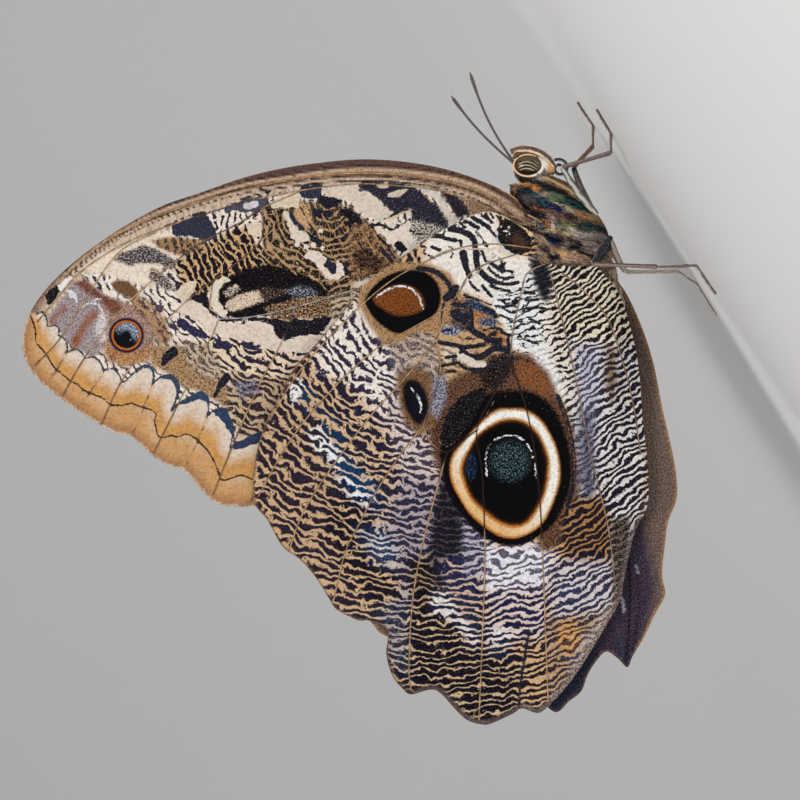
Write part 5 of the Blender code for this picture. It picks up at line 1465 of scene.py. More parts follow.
def upper_material(name):
    """A wing's upper side: smoky brown scales with a violet bloom, partly a painted sheen."""
    n = Nodes(name, 0.75, Specular_IOR_Level=0.06)
    place = n.field("chart")
    light = n.field("light", "Color")
    dark = n.field("dark", "Color")
    vein = n.split(n.field("marks"))[2]
    base = n.mix(n.smooth(0.46, 0.58, n.noise(place, 4.2, 3.0, 0.8)), dark, light)
    frosted = n.smooth(0.68, 0.74, n.noise(place, 3.1, 2.0, 0.8))
    base = n.mix(frosted * 0.7, base, 0xC4BABE)
    base = n.mix(n.smooth(0.26, 0.12, vein), base, n.mix(0.5, dark, light))
    n.bump(n.cells(place, 6.0), 0.3, 0.0001)
    return n.finish(base)


# Building wings

def put_fields(mesh, **fields):
    """Gives the points named vectors or colours, told apart by their width."""
    for name, values in fields.items():
        kind, key = ("FLOAT_COLOR", "color") if values.shape[1] == 4 else ("FLOAT_VECTOR", "vector")
        layer = mesh.attributes.new(name, kind, "POINT")
        layer.data.foreach_set(key, np.ascontiguousarray(values, dtype=np.float32).ravel())


def corner_points(mesh):
    """The point at each face corner."""
    found = np.empty(len(mesh.loops), dtype=np.int32)
    mesh.loops.foreach_get("vertex_index", found)
    return found


def put_map(mesh, places):
    """The piece's flat map, from a place for each face corner."""
    mesh.uv_layers.new(name="OFBake").data.foreach_set("uv", places.astype(np.float32).ravel())


def add_object(name, data):
    """A new object in the scene."""
    obj = bpy.data.objects.new(name, data)
    bpy.context.scene.collection.objects.link(obj)
    return obj


def mesh_object(name, verts, faces, material, replaced):
    """One piece from points in body millimetres, riding on the body."""
    mesh = bpy.data.meshes.new(name)
    faces = faces.tolist() if isinstance(faces, np.ndarray) else faces
    mesh.from_pydata((np.asarray(verts) + SHIFT) * MM, [], faces)
    mesh.shade_smooth()
    mesh.materials.append(material)
    obj = add_object(name, mesh)
    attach(obj, "root")
    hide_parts(*replaced)
    return obj


def skin_object(name, verts, faces, tints, material, replaced):
    """A piece of skin in the colours of the coat over it."""
    obj = mesh_object(name, verts, faces, material, replaced)
    put_fields(obj.data, tint=tints, root=np.array(verts))
    return obj


def chart_map(mesh, chart):
    """A flat map of the chart, filling its square."""
    low = chart.min(axis=0)
    span = float((chart.max(axis=0) - low).max())
    uv = 0.01 + 0.98 * (chart - low) / span
    put_map(mesh, uv[corner_points(mesh)])


def build_wing(name, web, side, height, angle, pattern, under, upper):
    """The patterned outer sheet and the plain inner sheet of one wing, meeting along the margin."""
    chart, faces, outline, veins = web
    edge = line_distance(chart, np.concatenate([outline, outline[:1]]))[0]
    vein, half_width, pleat = vein_fields(chart, veins)
    x, z = chart_to_body(turned(chart, angle))
    thick = MARGIN_HALF + (MEMBRANE_HALF - MARGIN_HALF) * smoothstep(0.0, 0.8, edge)
    ridge = VEIN_RISE * np.clip(1 - vein / half_width, 0.0, 1.0) * smoothstep(0.0, 1.0, edge)
    sag = PLEAT * (pleat - 0.5) * smoothstep(0.0, 2.0, edge)
    middle = height(x, z)
    s, phase, along, spots = pattern(chart)
    for face_name, turn, material in (("under", 1, under), ("upper", -1, upper)):
        y = side * (middle - sag + turn * (thick + ridge))
        facing = faces[:, ::-1] if turn * side > 0 else faces
        mesh = mesh_object(f"{name}_{face_name}", np.stack([x, y, z], axis=1), facing, material, [name]).data
        chart_map(mesh, chart)
        put_fields(mesh, chart=np.column_stack([chart, np.zeros(len(chart))]),
                   marks=np.column_stack([s.ink, s.pale, vein]))
        if face_name == "under":
            put_fields(mesh, flow=np.column_stack([phase, along, s.share]),
                       mode=np.column_stack([s.cellular, s.strength, s.speck]),
                       rings=np.column_stack(spots), light=s.light, dark=s.dark, ink=s.ink_colour,
                       pale=s.pale_colour, vein=s.vein)
        else:
            light, dark = upper_wash(chart, edge, name)
            put_fields(mesh, light=light, dark=dark)


def upper_wash(p, edge, name):
    """Brown with a worn tan rim, dark violet toward the tail partly painted as sheen, and painted fold
    shade.
    """
    light = spread(0x8C7668, len(p))
    dark = spread(0x4C3E3C, len(p))
    worn = 0.5 + 0.5 * np.sin(p[:, 0] * 2.3 + p[:, 1] * 1.9) * np.sin(p[:, 1] * 3.7 - p[:, 0])
    if name.startswith("hind"):
        seen = turned(p, FAR_HIND_TURN)
        shore = smooth_path(plate(*VIOLET), 0.8, closed=True)
        violet = smoothstep(-1.2, 1.2, depth_in(seen, shore) + 0.8 * (worn - 0.5))
        tip = violet * smoothstep(62.0, 66.5, seen[:, 1])
        washes = [(violet, 0x544656, 0x221B26), (tip, 0x3A3E54, 0x12121C)]
        rim = (1 - smoothstep(0.1, 0.3 + 0.4 * worn, edge)) * (1 - 0.75 * tip)
    else:
        violet = smoothstep(62.0, 30.0, p[:, 0]) * smoothstep(1.0, 5.0, edge)
        washes = [(violet, 0x605C80, 0x302C42)]
        rim = 1 - smoothstep(0.3, 0.7, edge)
    # The violet is partly the scales' own colour and partly a painted sheen.
    for mask, shade, ground in washes:
        wash(light, shade, mask)
        wash(dark, ground, mask)
    if name.startswith("hind"):
        # Painted shade and highlights along the wing's folds.
        for line, half, shade in FAR_FOLD_SHADE_AND_HIGHLIGHTS:
            mask = violet * smoothstep(half + 0.1, half - 0.1, line_distance(seen, plate(*line))[0])
            wash(light, shade, mask)
            dark += (paint(shade) * 0.6 - dark) * mask[:, None]
    wash(light, 0xC49C74, rim)
    wash(dark, 0x846044, rim)
    return light, dark


# Body markings, soft-edged and alike on both sides

BODY_BASE = 0x706058
# Outline, softness in mm and colour: the thorax, its ground first with a painted shadow below the wing
# roots, then the head.
THORAX_MARKS = [
    # Painted shadow: the thorax darkened below the wing roots.
    ([(500, 178), (530, 176), (545, 190), (540, 215), (526, 240), (505, 215)], 0.6, 0x3C3232),
    ([(548, 206), (606, 214), (606, 222), (560, 222)], 0.4, 0x92725E),
    ([(545, 228), (576, 232), (576, 260), (540, 262), (532, 240)], 0.5, 0xA88A6E),
    ([(574, 230), (606, 232), (604, 250), (590, 256), (576, 250)], 0.3, 0xA4928C),
    ([(556, 250), (592, 256), (592, 263), (556, 262)], 0.3, 0xBE967E),
    ([(546, 261), (592, 262), (586, 275), (552, 272)], 0.4, 0x585448),
    ([(533, 184), (548, 181), (566, 190), (580, 199), (592, 212), (590, 216), (574, 212), (556, 204),
     (538, 197)], 0.25, 0x1C303C),
    ([(516, 187), (522, 184), (530, 188), (533, 196), (522, 195), (515, 192)], 0.2, 0x1E2A34),
    ([(514, 193), (530, 193), (532, 202), (520, 203)], 0.25, 0x5C5256),
    ([(541, 190), (552, 191), (562, 196), (556, 201), (545, 199), (540, 195)], 0.15, 0x788A6E),
    ([(536, 193), (544, 190), (545, 194), (537, 197)], 0.1, 0xCEA288),
    ([(532, 191), (538, 191), (538, 197), (532, 197)], 0.12, 0x487C88),
    ([(558, 197), (566, 199), (578, 206), (590, 213), (590, 216), (576, 211), (562, 204)], 0.12,
     0x4A8076), ([(562, 200), (570, 202), (580, 209), (572, 208)], 0.1, 0x182A36),
    ([(548, 200), (556, 202), (563, 206), (561, 208), (554, 206), (547, 203)], 0.08, 0xCECC92),
    ([(534, 198), (542, 198), (552, 203), (560, 207), (560, 212), (554, 214), (546, 208), (536, 204)],
     0.12, 0x182A52), ([(538, 199), (543, 200), (543, 204), (538, 204)], 0.1, 0x307870),
    ([(530, 205), (534, 205), (534, 208), (530, 208)], 0.06, 0xDE9254),
    ([(536, 208), (542, 208), (544, 211), (537, 210)], 0.06, 0xDE9254),
    ([(529, 210), (537, 211), (546, 215), (549, 221), (540, 222), (530, 218)], 0.15, 0x101420),
    ([(546, 208), (553, 210), (554, 220), (548, 219)], 0.15, 0x967668),
    ([(560, 204), (568, 206), (570, 212), (561, 212)], 0.12, 0xCCB696),
    ([(560, 212), (572, 214), (576, 220), (562, 220)], 0.15, 0x32262E),
    ([(569, 209), (584, 211), (598, 216), (584, 218), (572, 215)], 0.15, 0xCE9A6C),
    ([(556, 220), (568, 223), (574, 228), (562, 229), (556, 225)], 0.12, 0x929262),
    ([(572, 222), (586, 221), (610, 225), (614, 231), (590, 230), (574, 230)], 0.2, 0x1E383E),
    ([(572, 226), (584, 227), (596, 230), (584, 231)], 0.12, 0x566A5A),
    ([(533, 220), (538, 219), (542, 223), (544, 229), (538, 230), (533, 226)], 0.1, 0x86ACAA),
    ([(539, 223), (544, 224), (545, 230), (540, 230)], 0.1, 0x1A344A),
    ([(541, 220), (550, 221), (550, 230), (545, 228)], 0.12, 0xB07044),
    ([(551, 222), (556, 223), (559, 228), (555, 229), (551, 226)], 0.07, 0xEAE8E4),
    ([(565, 227), (571, 227), (571, 230), (565, 230)], 0.08, 0xD6CAB8),
    ([(550, 228), (558, 230), (572, 232), (572, 236), (556, 234), (548, 232)], 0.12, 0xCEB28A),
    ([(544, 233), (553, 233), (558, 238), (557, 246), (549, 244), (545, 239)], 0.14, 0x162A46),
    ([(557, 235), (572, 236), (570, 241), (558, 240)], 0.15, 0x5C5058),
    ([(556, 240), (564, 241), (568, 245), (562, 248), (557, 245)], 0.08, 0xECE2CE),
    ([(563, 244), (575, 243), (577, 248), (566, 250)], 0.12, 0x1E2038),
    ([(572, 232), (578, 231), (575, 236), (575, 243), (571, 241)], 0.1, 0xDED2C8),
    ([(579, 233), (596, 233), (595, 236), (580, 237)], 0.12, 0xD4C4C0),
    ([(568, 248), (577, 249), (576, 252), (569, 251)], 0.07, 0xF0DEB6),
    ([(574, 238), (590, 239), (600, 243), (590, 241.5)], 0.05, 0x463C42),
    ([(576, 244), (592, 246), (600, 250), (588, 248.5)], 0.05, 0x544844),
    ([(580, 240), (592, 242), (590, 244), (579, 242)], 0.05, 0xC4AC96),
    ([(586, 246), (598, 248), (600, 252), (590, 250)], 0.05, 0xCEBAAA),
    ([(560, 238), (574, 240), (584, 246), (572, 244)], 0.05, 0x282432),
    ([(576, 250), (594, 255), (592, 258), (574, 253)], 0.1, 0x282228),
    ([(553, 249), (566, 251), (564, 257), (554, 256)], 0.12, 0xDEB07A),
    ([(545, 253), (556, 253), (558, 258), (549, 260), (545, 257)], 0.12, 0x16202E),
    ([(534, 243), (546, 245), (547, 252), (538, 251)], 0.2, 0x363038),
    ([(529, 237), (535, 238), (535, 244), (529, 243)], 0.12, 0x161A24),
    ([(525, 218), (532, 219), (532, 228), (526, 226)], 0.2, 0x785840),
    ([(586, 262), (600, 249), (608, 235), (613, 236), (606, 252), (592, 265)], 0.2, 0x162C46),
    ([(592, 266), (606, 253), (613, 238), (618, 240), (610, 257), (598, 268)], 0.2, 0xB09274),
    ([(539, 178), (550, 182), (563, 188), (577, 197), (574, 199), (562, 190), (550, 185), (539, 181)],
     0.06, 0xF0CA9A),
    ([(543, 182), (552, 186), (562, 191), (572, 197), (570, 199), (560, 193), (550, 188), (542, 184)],
     0.05, 0x3C2C28),
    ([(556, 178), (566, 183), (580, 195), (590, 210), (586, 210), (576, 197), (564, 187), (554, 181)],
     0.12, 0x60422E),
    ([(518, 182), (524, 180), (531, 183), (538, 188), (536, 192), (530, 189), (525, 185), (519, 186)],
     0.12, 0xE69E58),
    ([(508, 191), (514, 186), (519, 184), (519, 186), (514, 189), (509, 194)], 0.06, 0xB08260),
    ([(506, 183), (514, 178), (524, 176), (534, 179), (524, 180), (514, 183)], 0.15, 0x2C2830),
]
HEAD_MARKS = [
    ([(508, 148), (530, 146), (545, 153), (540, 159), (528, 154), (512, 160)], 0.1, 0x7E624A),
    ([(508, 164), (518, 172), (530, 177), (545, 178), (540, 184), (520, 182), (506, 178)], 0.3, 0x3A3638),
    ([(506, 160), (516, 160), (518, 176), (506, 176)], 0.3, 0x704C36),
    ([(508, 162), (515, 163), (515, 169), (509, 169)], 0.12, 0xDE985C),
    ([(508, 169), (514, 170), (514, 174), (508, 173)], 0.12, 0x183A48),
    ([(538, 156), (548, 160), (549, 172), (547, 181), (534, 179), (541, 170)], 0.2, 0xF6ECE0),
    ([(547, 160), (556, 162), (557, 171), (547, 171)], 0.15, 0xE8C494),
    ([(547, 171), (558, 171), (558, 178), (549, 178)], 0.15, 0xB06832),
    ([(551, 174), (562, 174), (566, 184), (556, 182)], 0.2, 0x704C32),
]
SHOULDER = [
    (517, 196), (523, 204), (523, 214), (529, 226), (533, 237), (531, 250), (534, 260), (553, 264),
    (575, 266), (596, 262), (612, 250), (612, 200), (560, 190), (530, 190),
]
ABDOMEN_COLOUR = 0x705C50
ABDOMEN_BELLY = 0xA89684


def body_tints(p):
    """Colours of the skin and of the hair rooted at body points."""
    chart = np.column_stack(body_to_chart(p[:, 0], p[:, 2]))
    found = spread(BODY_BASE, len(p))
    streak = chart @ np.array([0.55, 0.84])
    wobble = 0.12 * np.sin(streak * 19.0) * np.sin(p[:, 0] * 2.0) + 0.1 * np.sin(streak * 31.0 + p[:, 2])
    for loop, soft, shade in THORAX_MARKS + HEAD_MARKS:
        wash(found, shade, smoothstep(-soft, soft, depth_in(chart, plate(*loop)) + wobble))
    line = abdomen_path(24)
    below = np.interp(-p[:, 0], -line[:, 0], line[:, 2]) - p[:, 2]
    rear = between(ABDOMEN_COLOUR, ABDOMEN_BELLY, smoothstep(-0.5, 1.5, below))
    found += (rear - found) * smoothstep(-7.5, -9.5, p[:, 0])[:, None]
    return found


# Body forms

def tube(path, radii, sides, flat_floor=False):
    """Points, faces and (share along, share around) of a closed round limb along a path."""
    path = np.asarray(path, dtype=float)
    verts = []
    spots = []
    up = Vector((0, 0, 1))
    for i, centre in enumerate(path):
        ahead = Vector(path[min(i + 1, len(path) - 1)])
        behind = Vector(path[max(i - 1, 0)])
        tangent = (ahead - behind).normalized()
        side = tangent.cross(up)
        side = side.normalized() if side.length > 0.05 else Vector((0, 1, 0))
        lift = side.cross(tangent).normalized()
        for k in range(sides):
            turn = 2 * math.pi * (k + 0.5) / sides
            p = Vector(centre) + (side * math.cos(turn) + lift * math.sin(turn)) * radii[i]
            if flat_floor:
                p.z = max(p.z, FLOOR)
            verts.append(tuple(p))
            spots.append((i / (len(path) - 1), math.sin(turn), math.cos(turn)))
    return verts, loft_faces(len(path), sides), spots


def loft_faces(rings, sides):
    """Faces between rings of points, with both ends closed."""
    faces = [list(range(sides))[::-1], [(rings - 1) * sides + k for k in range(sides)]]
    for r in range(rings - 1):
        for k in range(sides):
            a = r * sides + k
            b = r * sides + (k + 1) % sides
            faces.append([a, b, b + sides, a + sides])
    return faces


def joined(parts):
    """Several (points, faces, spots) as one."""
    verts = []
    faces = []
    spots = []
    for part_verts, part_faces, part_spots in parts:
        base = len(verts)
        verts += list(part_verts)
        faces += [[k + base for k in face] for face in part_faces]
        spots += list(part_spots)
    return verts, faces, spots


def thorn(base, tip, radius):
    """A short spine."""
    base = np.asarray(base, dtype=float)
    tip = np.asarray(tip, dtype=float)
    return tube([base, base * 0.5 + tip * 0.5, tip], [radius, radius * 0.7, radius * 0.15], 4)


def limb(path, radii, step=0.25, sides=14, flat_floor=False):
    """A limb with radii smoothed along its path and rounded ends."""
    fine = smooth_path(path, step)
    lengths = np.concatenate([[0], np.cumsum(np.linalg.norm(np.diff(fine, axis=0), axis=1))])
    share = lengths / lengths[-1]
    table = np.interp(share, np.linspace(0, 1, len(radii)), radii)
    end = 0.6 * max(radii)
    ease = np.sqrt(np.clip(1 - (1 - np.minimum(lengths, end) / end) ** 2, 0.02, 1))
    ease *= np.sqrt(np.clip(1 - (1 - np.minimum(lengths[-1] - lengths, end) / end) ** 2, 0.02, 1))
    return tube(fine, table * ease, sides, flat_floor)


def trunk_grid():
    """Rings of the whole trunk from the face to the tip of the abdomen."""
    stations = []
    for x, z, depth, width, *lean in TRUNK:
        lean = lean[0] if lean else 0.0
        stations.append((x, z, math.atan2(1.0, lean), depth * math.hypot(1.0, lean), width))
    path = abdomen_path(19)
    for k in range(1, 19):
        t = k / 18
        girth = float(abdomen_girth(t)) - COAT_DEPTH
        groove = 0.12 if k % 2 == 0 else 0.0
        way = path[min(k + 1, 18)] - path[k - 1]
        tilt = math.pi / 2 + math.atan2(way[2], -way[0]) * -1.0
        stations.append((path[k][0], path[k][2], tilt, max(girth - groove, 0.3), max(girth - groove, 0.3)))
    fine = smooth_path(stations, 0.35)
    sides = 40
    turn = 2 * np.pi * np.arange(sides) / sides
    rings = []
    for x, z, tilt, depth, width in fine:
        lift = np.cos(turn) * depth
        forward = x + lift * math.cos(tilt)
        rings.append(np.column_stack([forward, width * np.sin(turn), z + lift * math.sin(tilt)]))
    return np.array(rings)


def grid_normals(grid):
    """Outward directions at a grid of rings, and directions along it."""
    along = np.gradient(grid, axis=0)
    around = np.roll(grid, -1, axis=1) - np.roll(grid, 1, axis=1)
    normal = np.cross(along, around)
    normal /= np.linalg.norm(normal, axis=2)[:, :, None] + 1e-9
    outward = grid - grid.mean(axis=1)[:, None, :]
    flip = np.sign((normal * outward).sum(axis=2))[:, :, None]
    return normal * flip, along / (np.linalg.norm(along, axis=2)[:, :, None] + 1e-9)


def fur_material(name):
    """Short scaly hair: the root's colour, streaked from tuft to tuft."""
    n = Nodes(name, 0.75, Specular_IOR_Level=0.08)
    tint = n.scaled(n.field("tint", "Color"), 1.28)
    place = n.field("root")
    streaks = n.noise(place, 3.2, 3.0, 0.7)
    base = n.mix(n.smooth(0.54, 0.78, streaks), tint, n.mix(0.4, tint, 0xC4B096))
    base = n.mix(n.smooth(0.46, 0.26, streaks), base, n.mix(0.5, base, 0x0E0C0E))
    n.bump(n.noise(place, 9.0, 2.0, 0.6), 0.4, 0.0001)
    return n.finish(base)


def build_hair(name, roots, normals, flow, lengths, radius, lift, tints, places, material, replaced):
    """Tufts of solid, tapered, bent blades, each with its own patch of the map."""
    count = len(roots)
    across = np.cross(flow, normals)
    across /= np.linalg.norm(across, axis=1)[:, None] + 1e-9
    jitter = RANDOM.normal(0, 0.22, (count, 1)) * across
    first = normals * lift[:, None] + flow * (1 - lift[:, None]) + jitter
    first /= np.linalg.norm(first, axis=1)[:, None]
    second = first + flow * 0.55 - normals * 0.12 + jitter * 0.5
    second /= np.linalg.norm(second, axis=1)[:, None]
    middle = roots + first * (lengths * 0.5)[:, None]
    start = roots - first * 0.15
    side = np.cross(first, across)
    # Each blade has three points at the root, three at the bend and one at the tip.
    verts = np.zeros((count, BLADE_POINTS, 3))
    uv = np.zeros((count, BLADE_POINTS, 2))
    verts[:, 6] = middle + second * (lengths * 0.5)[:, None]
    uv[:, 6] = places
    base = (np.arange(count) * BLADE_POINTS)[:, None]
    faces = []
    for k in range(3):
        turn = 2 * math.pi * k / 3
        compass = np.array([math.cos(turn), math.sin(turn)])
        off = (across * compass[0] * 1.3 + side * compass[1] * 0.7) * radius[:, None]
        verts[:, k] = start + off
        verts[:, k + 3] = middle + off * 0.75
        uv[:, k] = places + 0.0015 * compass
        uv[:, k + 3] = places + 0.0009 * compass
        j = (k + 1) % 3
        faces.append(np.hstack([base + k, base + j, base + 3 + j]))
        faces.append(np.hstack([base + k, base + 3 + j, base + 3 + k]))
        faces.append(np.hstack([base + 3 + k, base + 3 + j, base + 6]))
    blades = mesh_object(name, verts.reshape(-1, 3), np.concatenate(faces), material, replaced)
    mesh = blades.data
    put_fields(mesh, tint=np.repeat(tints, BLADE_POINTS, axis=0),
               root=np.repeat(roots, BLADE_POINTS, axis=0))
    put_map(mesh, uv.reshape(-1, 2)[corner_points(mesh)])


def scatter(grid, normals, along, count, weight):
    """Roots spread over a grid of rings by area and weight, with their surface frames."""
    rings, sides = grid.shape[:2]
    around = np.linalg.norm(np.roll(grid, -1, axis=1) - grid, axis=2)
    step = np.linalg.norm(np.diff(grid, axis=0, append=grid[-1:]), axis=2)
    chance = around * step * weight(grid)
    chance[-1] = 0
    flat = chance.ravel() / chance.sum()
    pick = RANDOM.choice(rings * sides, size=count, p=flat)
    r = pick // sides
    k = pick % sides
    u = RANDOM.random(count)[:, None]
    v = RANDOM.random(count)[:, None]
    def mixed(a):
        nxt = (k + 1) % sides
        low = a[r, k] * (1 - v) + a[r, nxt] * v
        high = a[r + 1, k] * (1 - v) + a[r + 1, nxt] * v
        return low * (1 - u) + high * u
    places = np.column_stack([(r + u[:, 0]) / rings, (k + v[:, 0]) / sides]) * 0.96 + 0.02
    return mixed(grid), mixed(normals), mixed(along), places


def build_trunk():
    """One skin from face to tail, and its coat of short hair."""
    grid = trunk_grid()
    normals, along = grid_normals(grid)
    rings, sides = grid.shape[:2]
    verts = grid.reshape(-1, 3)
    lumps = 0.08 * np.sin(verts[:, 0] * 2.1 + verts[:, 2] * 1.3) * np.sin(verts[:, 1] * 2.3)
    verts = verts + normals.reshape(-1, 3) * lumps[:, None]
    mesh = skin_object("body_skin", verts, loft_faces(rings, sides), body_tints(verts),
                       fur_material("body_skin"), TRUNK_NODES).data
    corners = corner_points(mesh)
    uv = np.column_stack([(corners // sides) / rings, (corners % sides) / sides])
    faces_of = np.repeat(np.arange(len(mesh.polygons)), [len(f.vertices) for f in mesh.polygons])
    for face in np.unique(faces_of[(corners % sides) == 0]):
        loop = np.nonzero(faces_of == face)[0]
        if len(loop) == 4 and uv[loop, 1].max() > 0.5:
            uv[loop[uv[loop, 1] < 0.25], 1] += 1.0
    put_map(mesh, uv * 0.96 + 0.02)

    coat = fur_material("body_coat")
    for name, low, high, count, length, radius, erect in COATS:
        def weight(g):
            middle = g[:, :, 0].mean(axis=1)[:, None]
            found = ((middle > low) & (middle < high)) * np.ones(sides)
            across, down = body_to_chart(g[:, :, 0] - EYE_PLACE[0], g[:, :, 2] - EYE_PLACE[1])
            in_eye = np.hypot(across / EYE_LONG, down / EYE_SHORT) < 0.95
            return found * np.where(in_eye & (np.abs(g[:, :, 1]) > 0.8), 0.0, 1.0)
        roots, up, flow, places = scatter(grid, normals, along, count, weight)
        if name.startswith("thorax"):
            lean = np.array([-0.88, 0.0, -0.62])
            flow = lean - up * (up @ lean)[:, None]
            flow /= np.linalg.norm(flow, axis=1)[:, None] + 1e-6
        lengths = RANDOM.uniform(*length, count)
        build_hair(name, roots, up, flow, lengths, RANDOM.uniform(*radius, count),
                   RANDOM.uniform(*erect, count), strand_tints(roots, flow), places, coat, TRUNK_NODES)
    build_shoulder_hair(coat)


def strand_tints(roots, flow):
    """The skin's colours a little up or down the lie, some strands darker and some paler."""
    count = len(roots)
    found = body_tints(roots + flow * RANDOM.normal(0.0, 0.22, (count, 1)))
    tone = RANDOM.random(count)[:, None]
    found[:, :3] *= np.where(tone < 0.3, 0.3, np.where(tone > 0.84, 1.7, 1.0))
    return np.minimum(found, 0.85)


def build_shoulder_hair(coat):
    """The coat's spread over the roots of the wings."""
    outline = smooth_path(plate(*SHOULDER), 0.5, closed=True)
    low = outline.min(axis=0)
    high = outline.max(axis=0)
    for side, suffix in ((-1, "r"), (1, "l")):
        p = low + (high - low) * RANDOM.random((14000, 2))
        depth = depth_in(p, outline)
        on_hind = inside(p, np.array(HIND_OUTLINE))
        on_wing = on_hind | inside(p, np.array(FORE_OUTLINE))
        keep = (depth > 0) & on_wing & (RANDOM.random(len(p)) < 0.35 + depth)
        p = p[keep]
        x, z = chart_to_body(p)
        surface = np.where(on_hind[keep], hind_height(x, z), fore_height(x, z)) + MEMBRANE_HALF
        roots = np.column_stack([x, side * surface, z])
        count = len(roots)
        up = np.tile([0.0, float(side), 0.0], (count, 1))
        lean = np.tile([-0.82, 0.0, -0.57], (count, 1))
        places = (p - low) / (high - low) * 0.96 + 0.02
        build_hair(f"shoulder_hair_{suffix}", roots, up, lean, RANDOM.uniform(0.5, 1.15, count),
                   RANDOM.uniform(0.035, 0.075, count), RANDOM.uniform(0.08, 0.28, count),
                   strand_tints(roots, lean), places, coat, ["thorax"])


def eye_material():
    """Black facets crossed by cream bands, under olive arcs that follow the eye's edge."""
    n = Nodes("eye_facets", 0.3, Specular_IOR_Level=0.4, Coat_Weight=0.25, Coat_Roughness=0.15)
    forward, down, _ = n.split(n.field("dome"))
    across = forward * -1.0
    ring = n.math("SQRT", across * across + down * down)
    past = across + 0.14
    arch = down - past * past * 0.72
    place = n.object_place()
    grain = n.noise(place, 5000.0, 2.0, 0.7) - 0.5
    stripes = n.math("SINE", arch * 19.6 + 1.2) + grain
    bands = n.mix(n.smooth(0.3, 0.85, stripes), 0x1E120C, 0xC4B68C)
    rims = n.math("SINE", ring * 34.0) + grain
    arcs = n.mix(n.smooth(-0.5, 0.6, rims), 0x2E2016, 0x7C6646)
    inner = n.smooth(0.78, 0.68, ring) * n.smooth(-0.42, -0.32, down)
    base = n.mix(inner, arcs, bands)
    base = n.mix(n.smooth(0.5, 0.62, down), base, 0x180E0A)
    base = n.mix(n.smooth(0.55, 0.85, across * -1.0), base, 0x482216)
    base = n.mix(n.smooth(0.94, 0.99, ring), base, 0x100B0A)
    n.bump(n.cells(place, 9000.0), 0.25, 0.00002)
    return n.finish(base)


def eye_point(a, b):
    """Body (forward, up) of a place on the eye, in its long and short half widths from the middle."""
    return (EYE_PLACE[0] + EYE_LONG * a * COS_PITCH - EYE_SHORT * b * SIN_PITCH,
            EYE_PLACE[1] + EYE_LONG * a * SIN_PITCH + EYE_SHORT * b * COS_PITCH)


def build_eye(side, suffix, material, rim_material):
    """A domed eye and the cream ring of scales round it."""
    rings = 18
    sides = 40
    verts = []
    spots = []
    for k in range(rings):
        rise = 0.5 * math.pi * min(k / (rings - 1), 0.985)
        for j in range(sides):
            turn = 2 * math.pi * j / sides
            a = math.cos(rise) * math.cos(turn)
            b = math.cos(rise) * math.sin(turn)
            x, z = eye_point(a, b)
            verts.append((x, side * (EYE_SEAT - 0.35 + (EYE_BULGE + 0.3) * math.sin(rise)), z))
            spots.append((a, b, rise))
    obj = mesh_object(f"eye_{suffix}_dome", verts, loft_faces(rings, sides), material, [f"eye_{suffix}"])
    put_fields(obj.data, dome=np.array(spots))
    turns = 2 * np.pi * np.arange(49) / 48
    x, z = eye_point(1.03 * np.cos(turns), 1.04 * np.sin(turns))
    path = np.column_stack([x, np.full(len(x), side * (EYE_SEAT - 0.15)), z])
    face_side = np.exp(-((turns - 2.75) / 0.9) ** 2)
    verts, faces, _ = tube(path, 0.14 + 0.2 * face_side, 10)
    tints = between(0xECC8A0, 0xF8EEE4, np.repeat(face_side, 10))
    skin_object(f"eye_{suffix}_rim", verts, faces, tints, rim_material, [f"eye_{suffix}"])


def limb_object(name, parts, material, replaced, tints=None):
    """A piece of horn made of several closed forms."""
    verts, faces, spots = joined(parts)
    obj = mesh_object(name, verts, faces, material, replaced)
    put_fields(obj.data, spot=np.array(spots))
    if tints is not None:
        put_fields(obj.data, tint=tints)


def placed(point, side):
    """A body place on one side, right -1 or left 1."""
    return np.array([point[0], side * point[1], point[2]])


def tarsus_path(ankle, toe):
    """Down from the ankle, then along the floor to the claw."""
    lay = FLOOR + TARSUS_RADIUS * 0.72
    path = [ankle]
    for share in (0.2, 0.38, 0.62, 0.86):
        p = ankle + (toe - ankle) * share
        p[2] = max(lay, ankle[2] + (lay - ankle[2]) * share / 0.38)
        path.append(p)
    path.append(np.array([toe[0], toe[1], FLOOR + 0.12]))
    return np.array(path)


def leg_material(name):
    """Horn under fine scales, coloured along the leg and round it."""
    n = Nodes(name, 0.55, Specular_IOR_Level=0.25)
    tint = n.field("tint", "Color")
    place = n.object_place()
    dust = n.noise(place, 4200.0, 3.0, 0.75)
    base = n.mix(n.smooth(0.54, 0.7, dust) * 0.6, tint, 0xCEC6BC)
    base = n.mix(n.smooth(0.47, 0.3, dust) * 0.65, base, 0x181618)
    n.bump(n.cells(place, 6000.0), 0.5, 0.00006)
    return n.finish(base)


def banded(high, bands):
    """Colour round a limb: bands of (lowest height, colour), top first, and one for the rest."""
    found = spread(bands[-1][1], len(high))
    for low, shade in reversed(bands[:-1]):
        wash(found, shade, smoothstep(low - 0.12, low + 0.12, high))
    return found


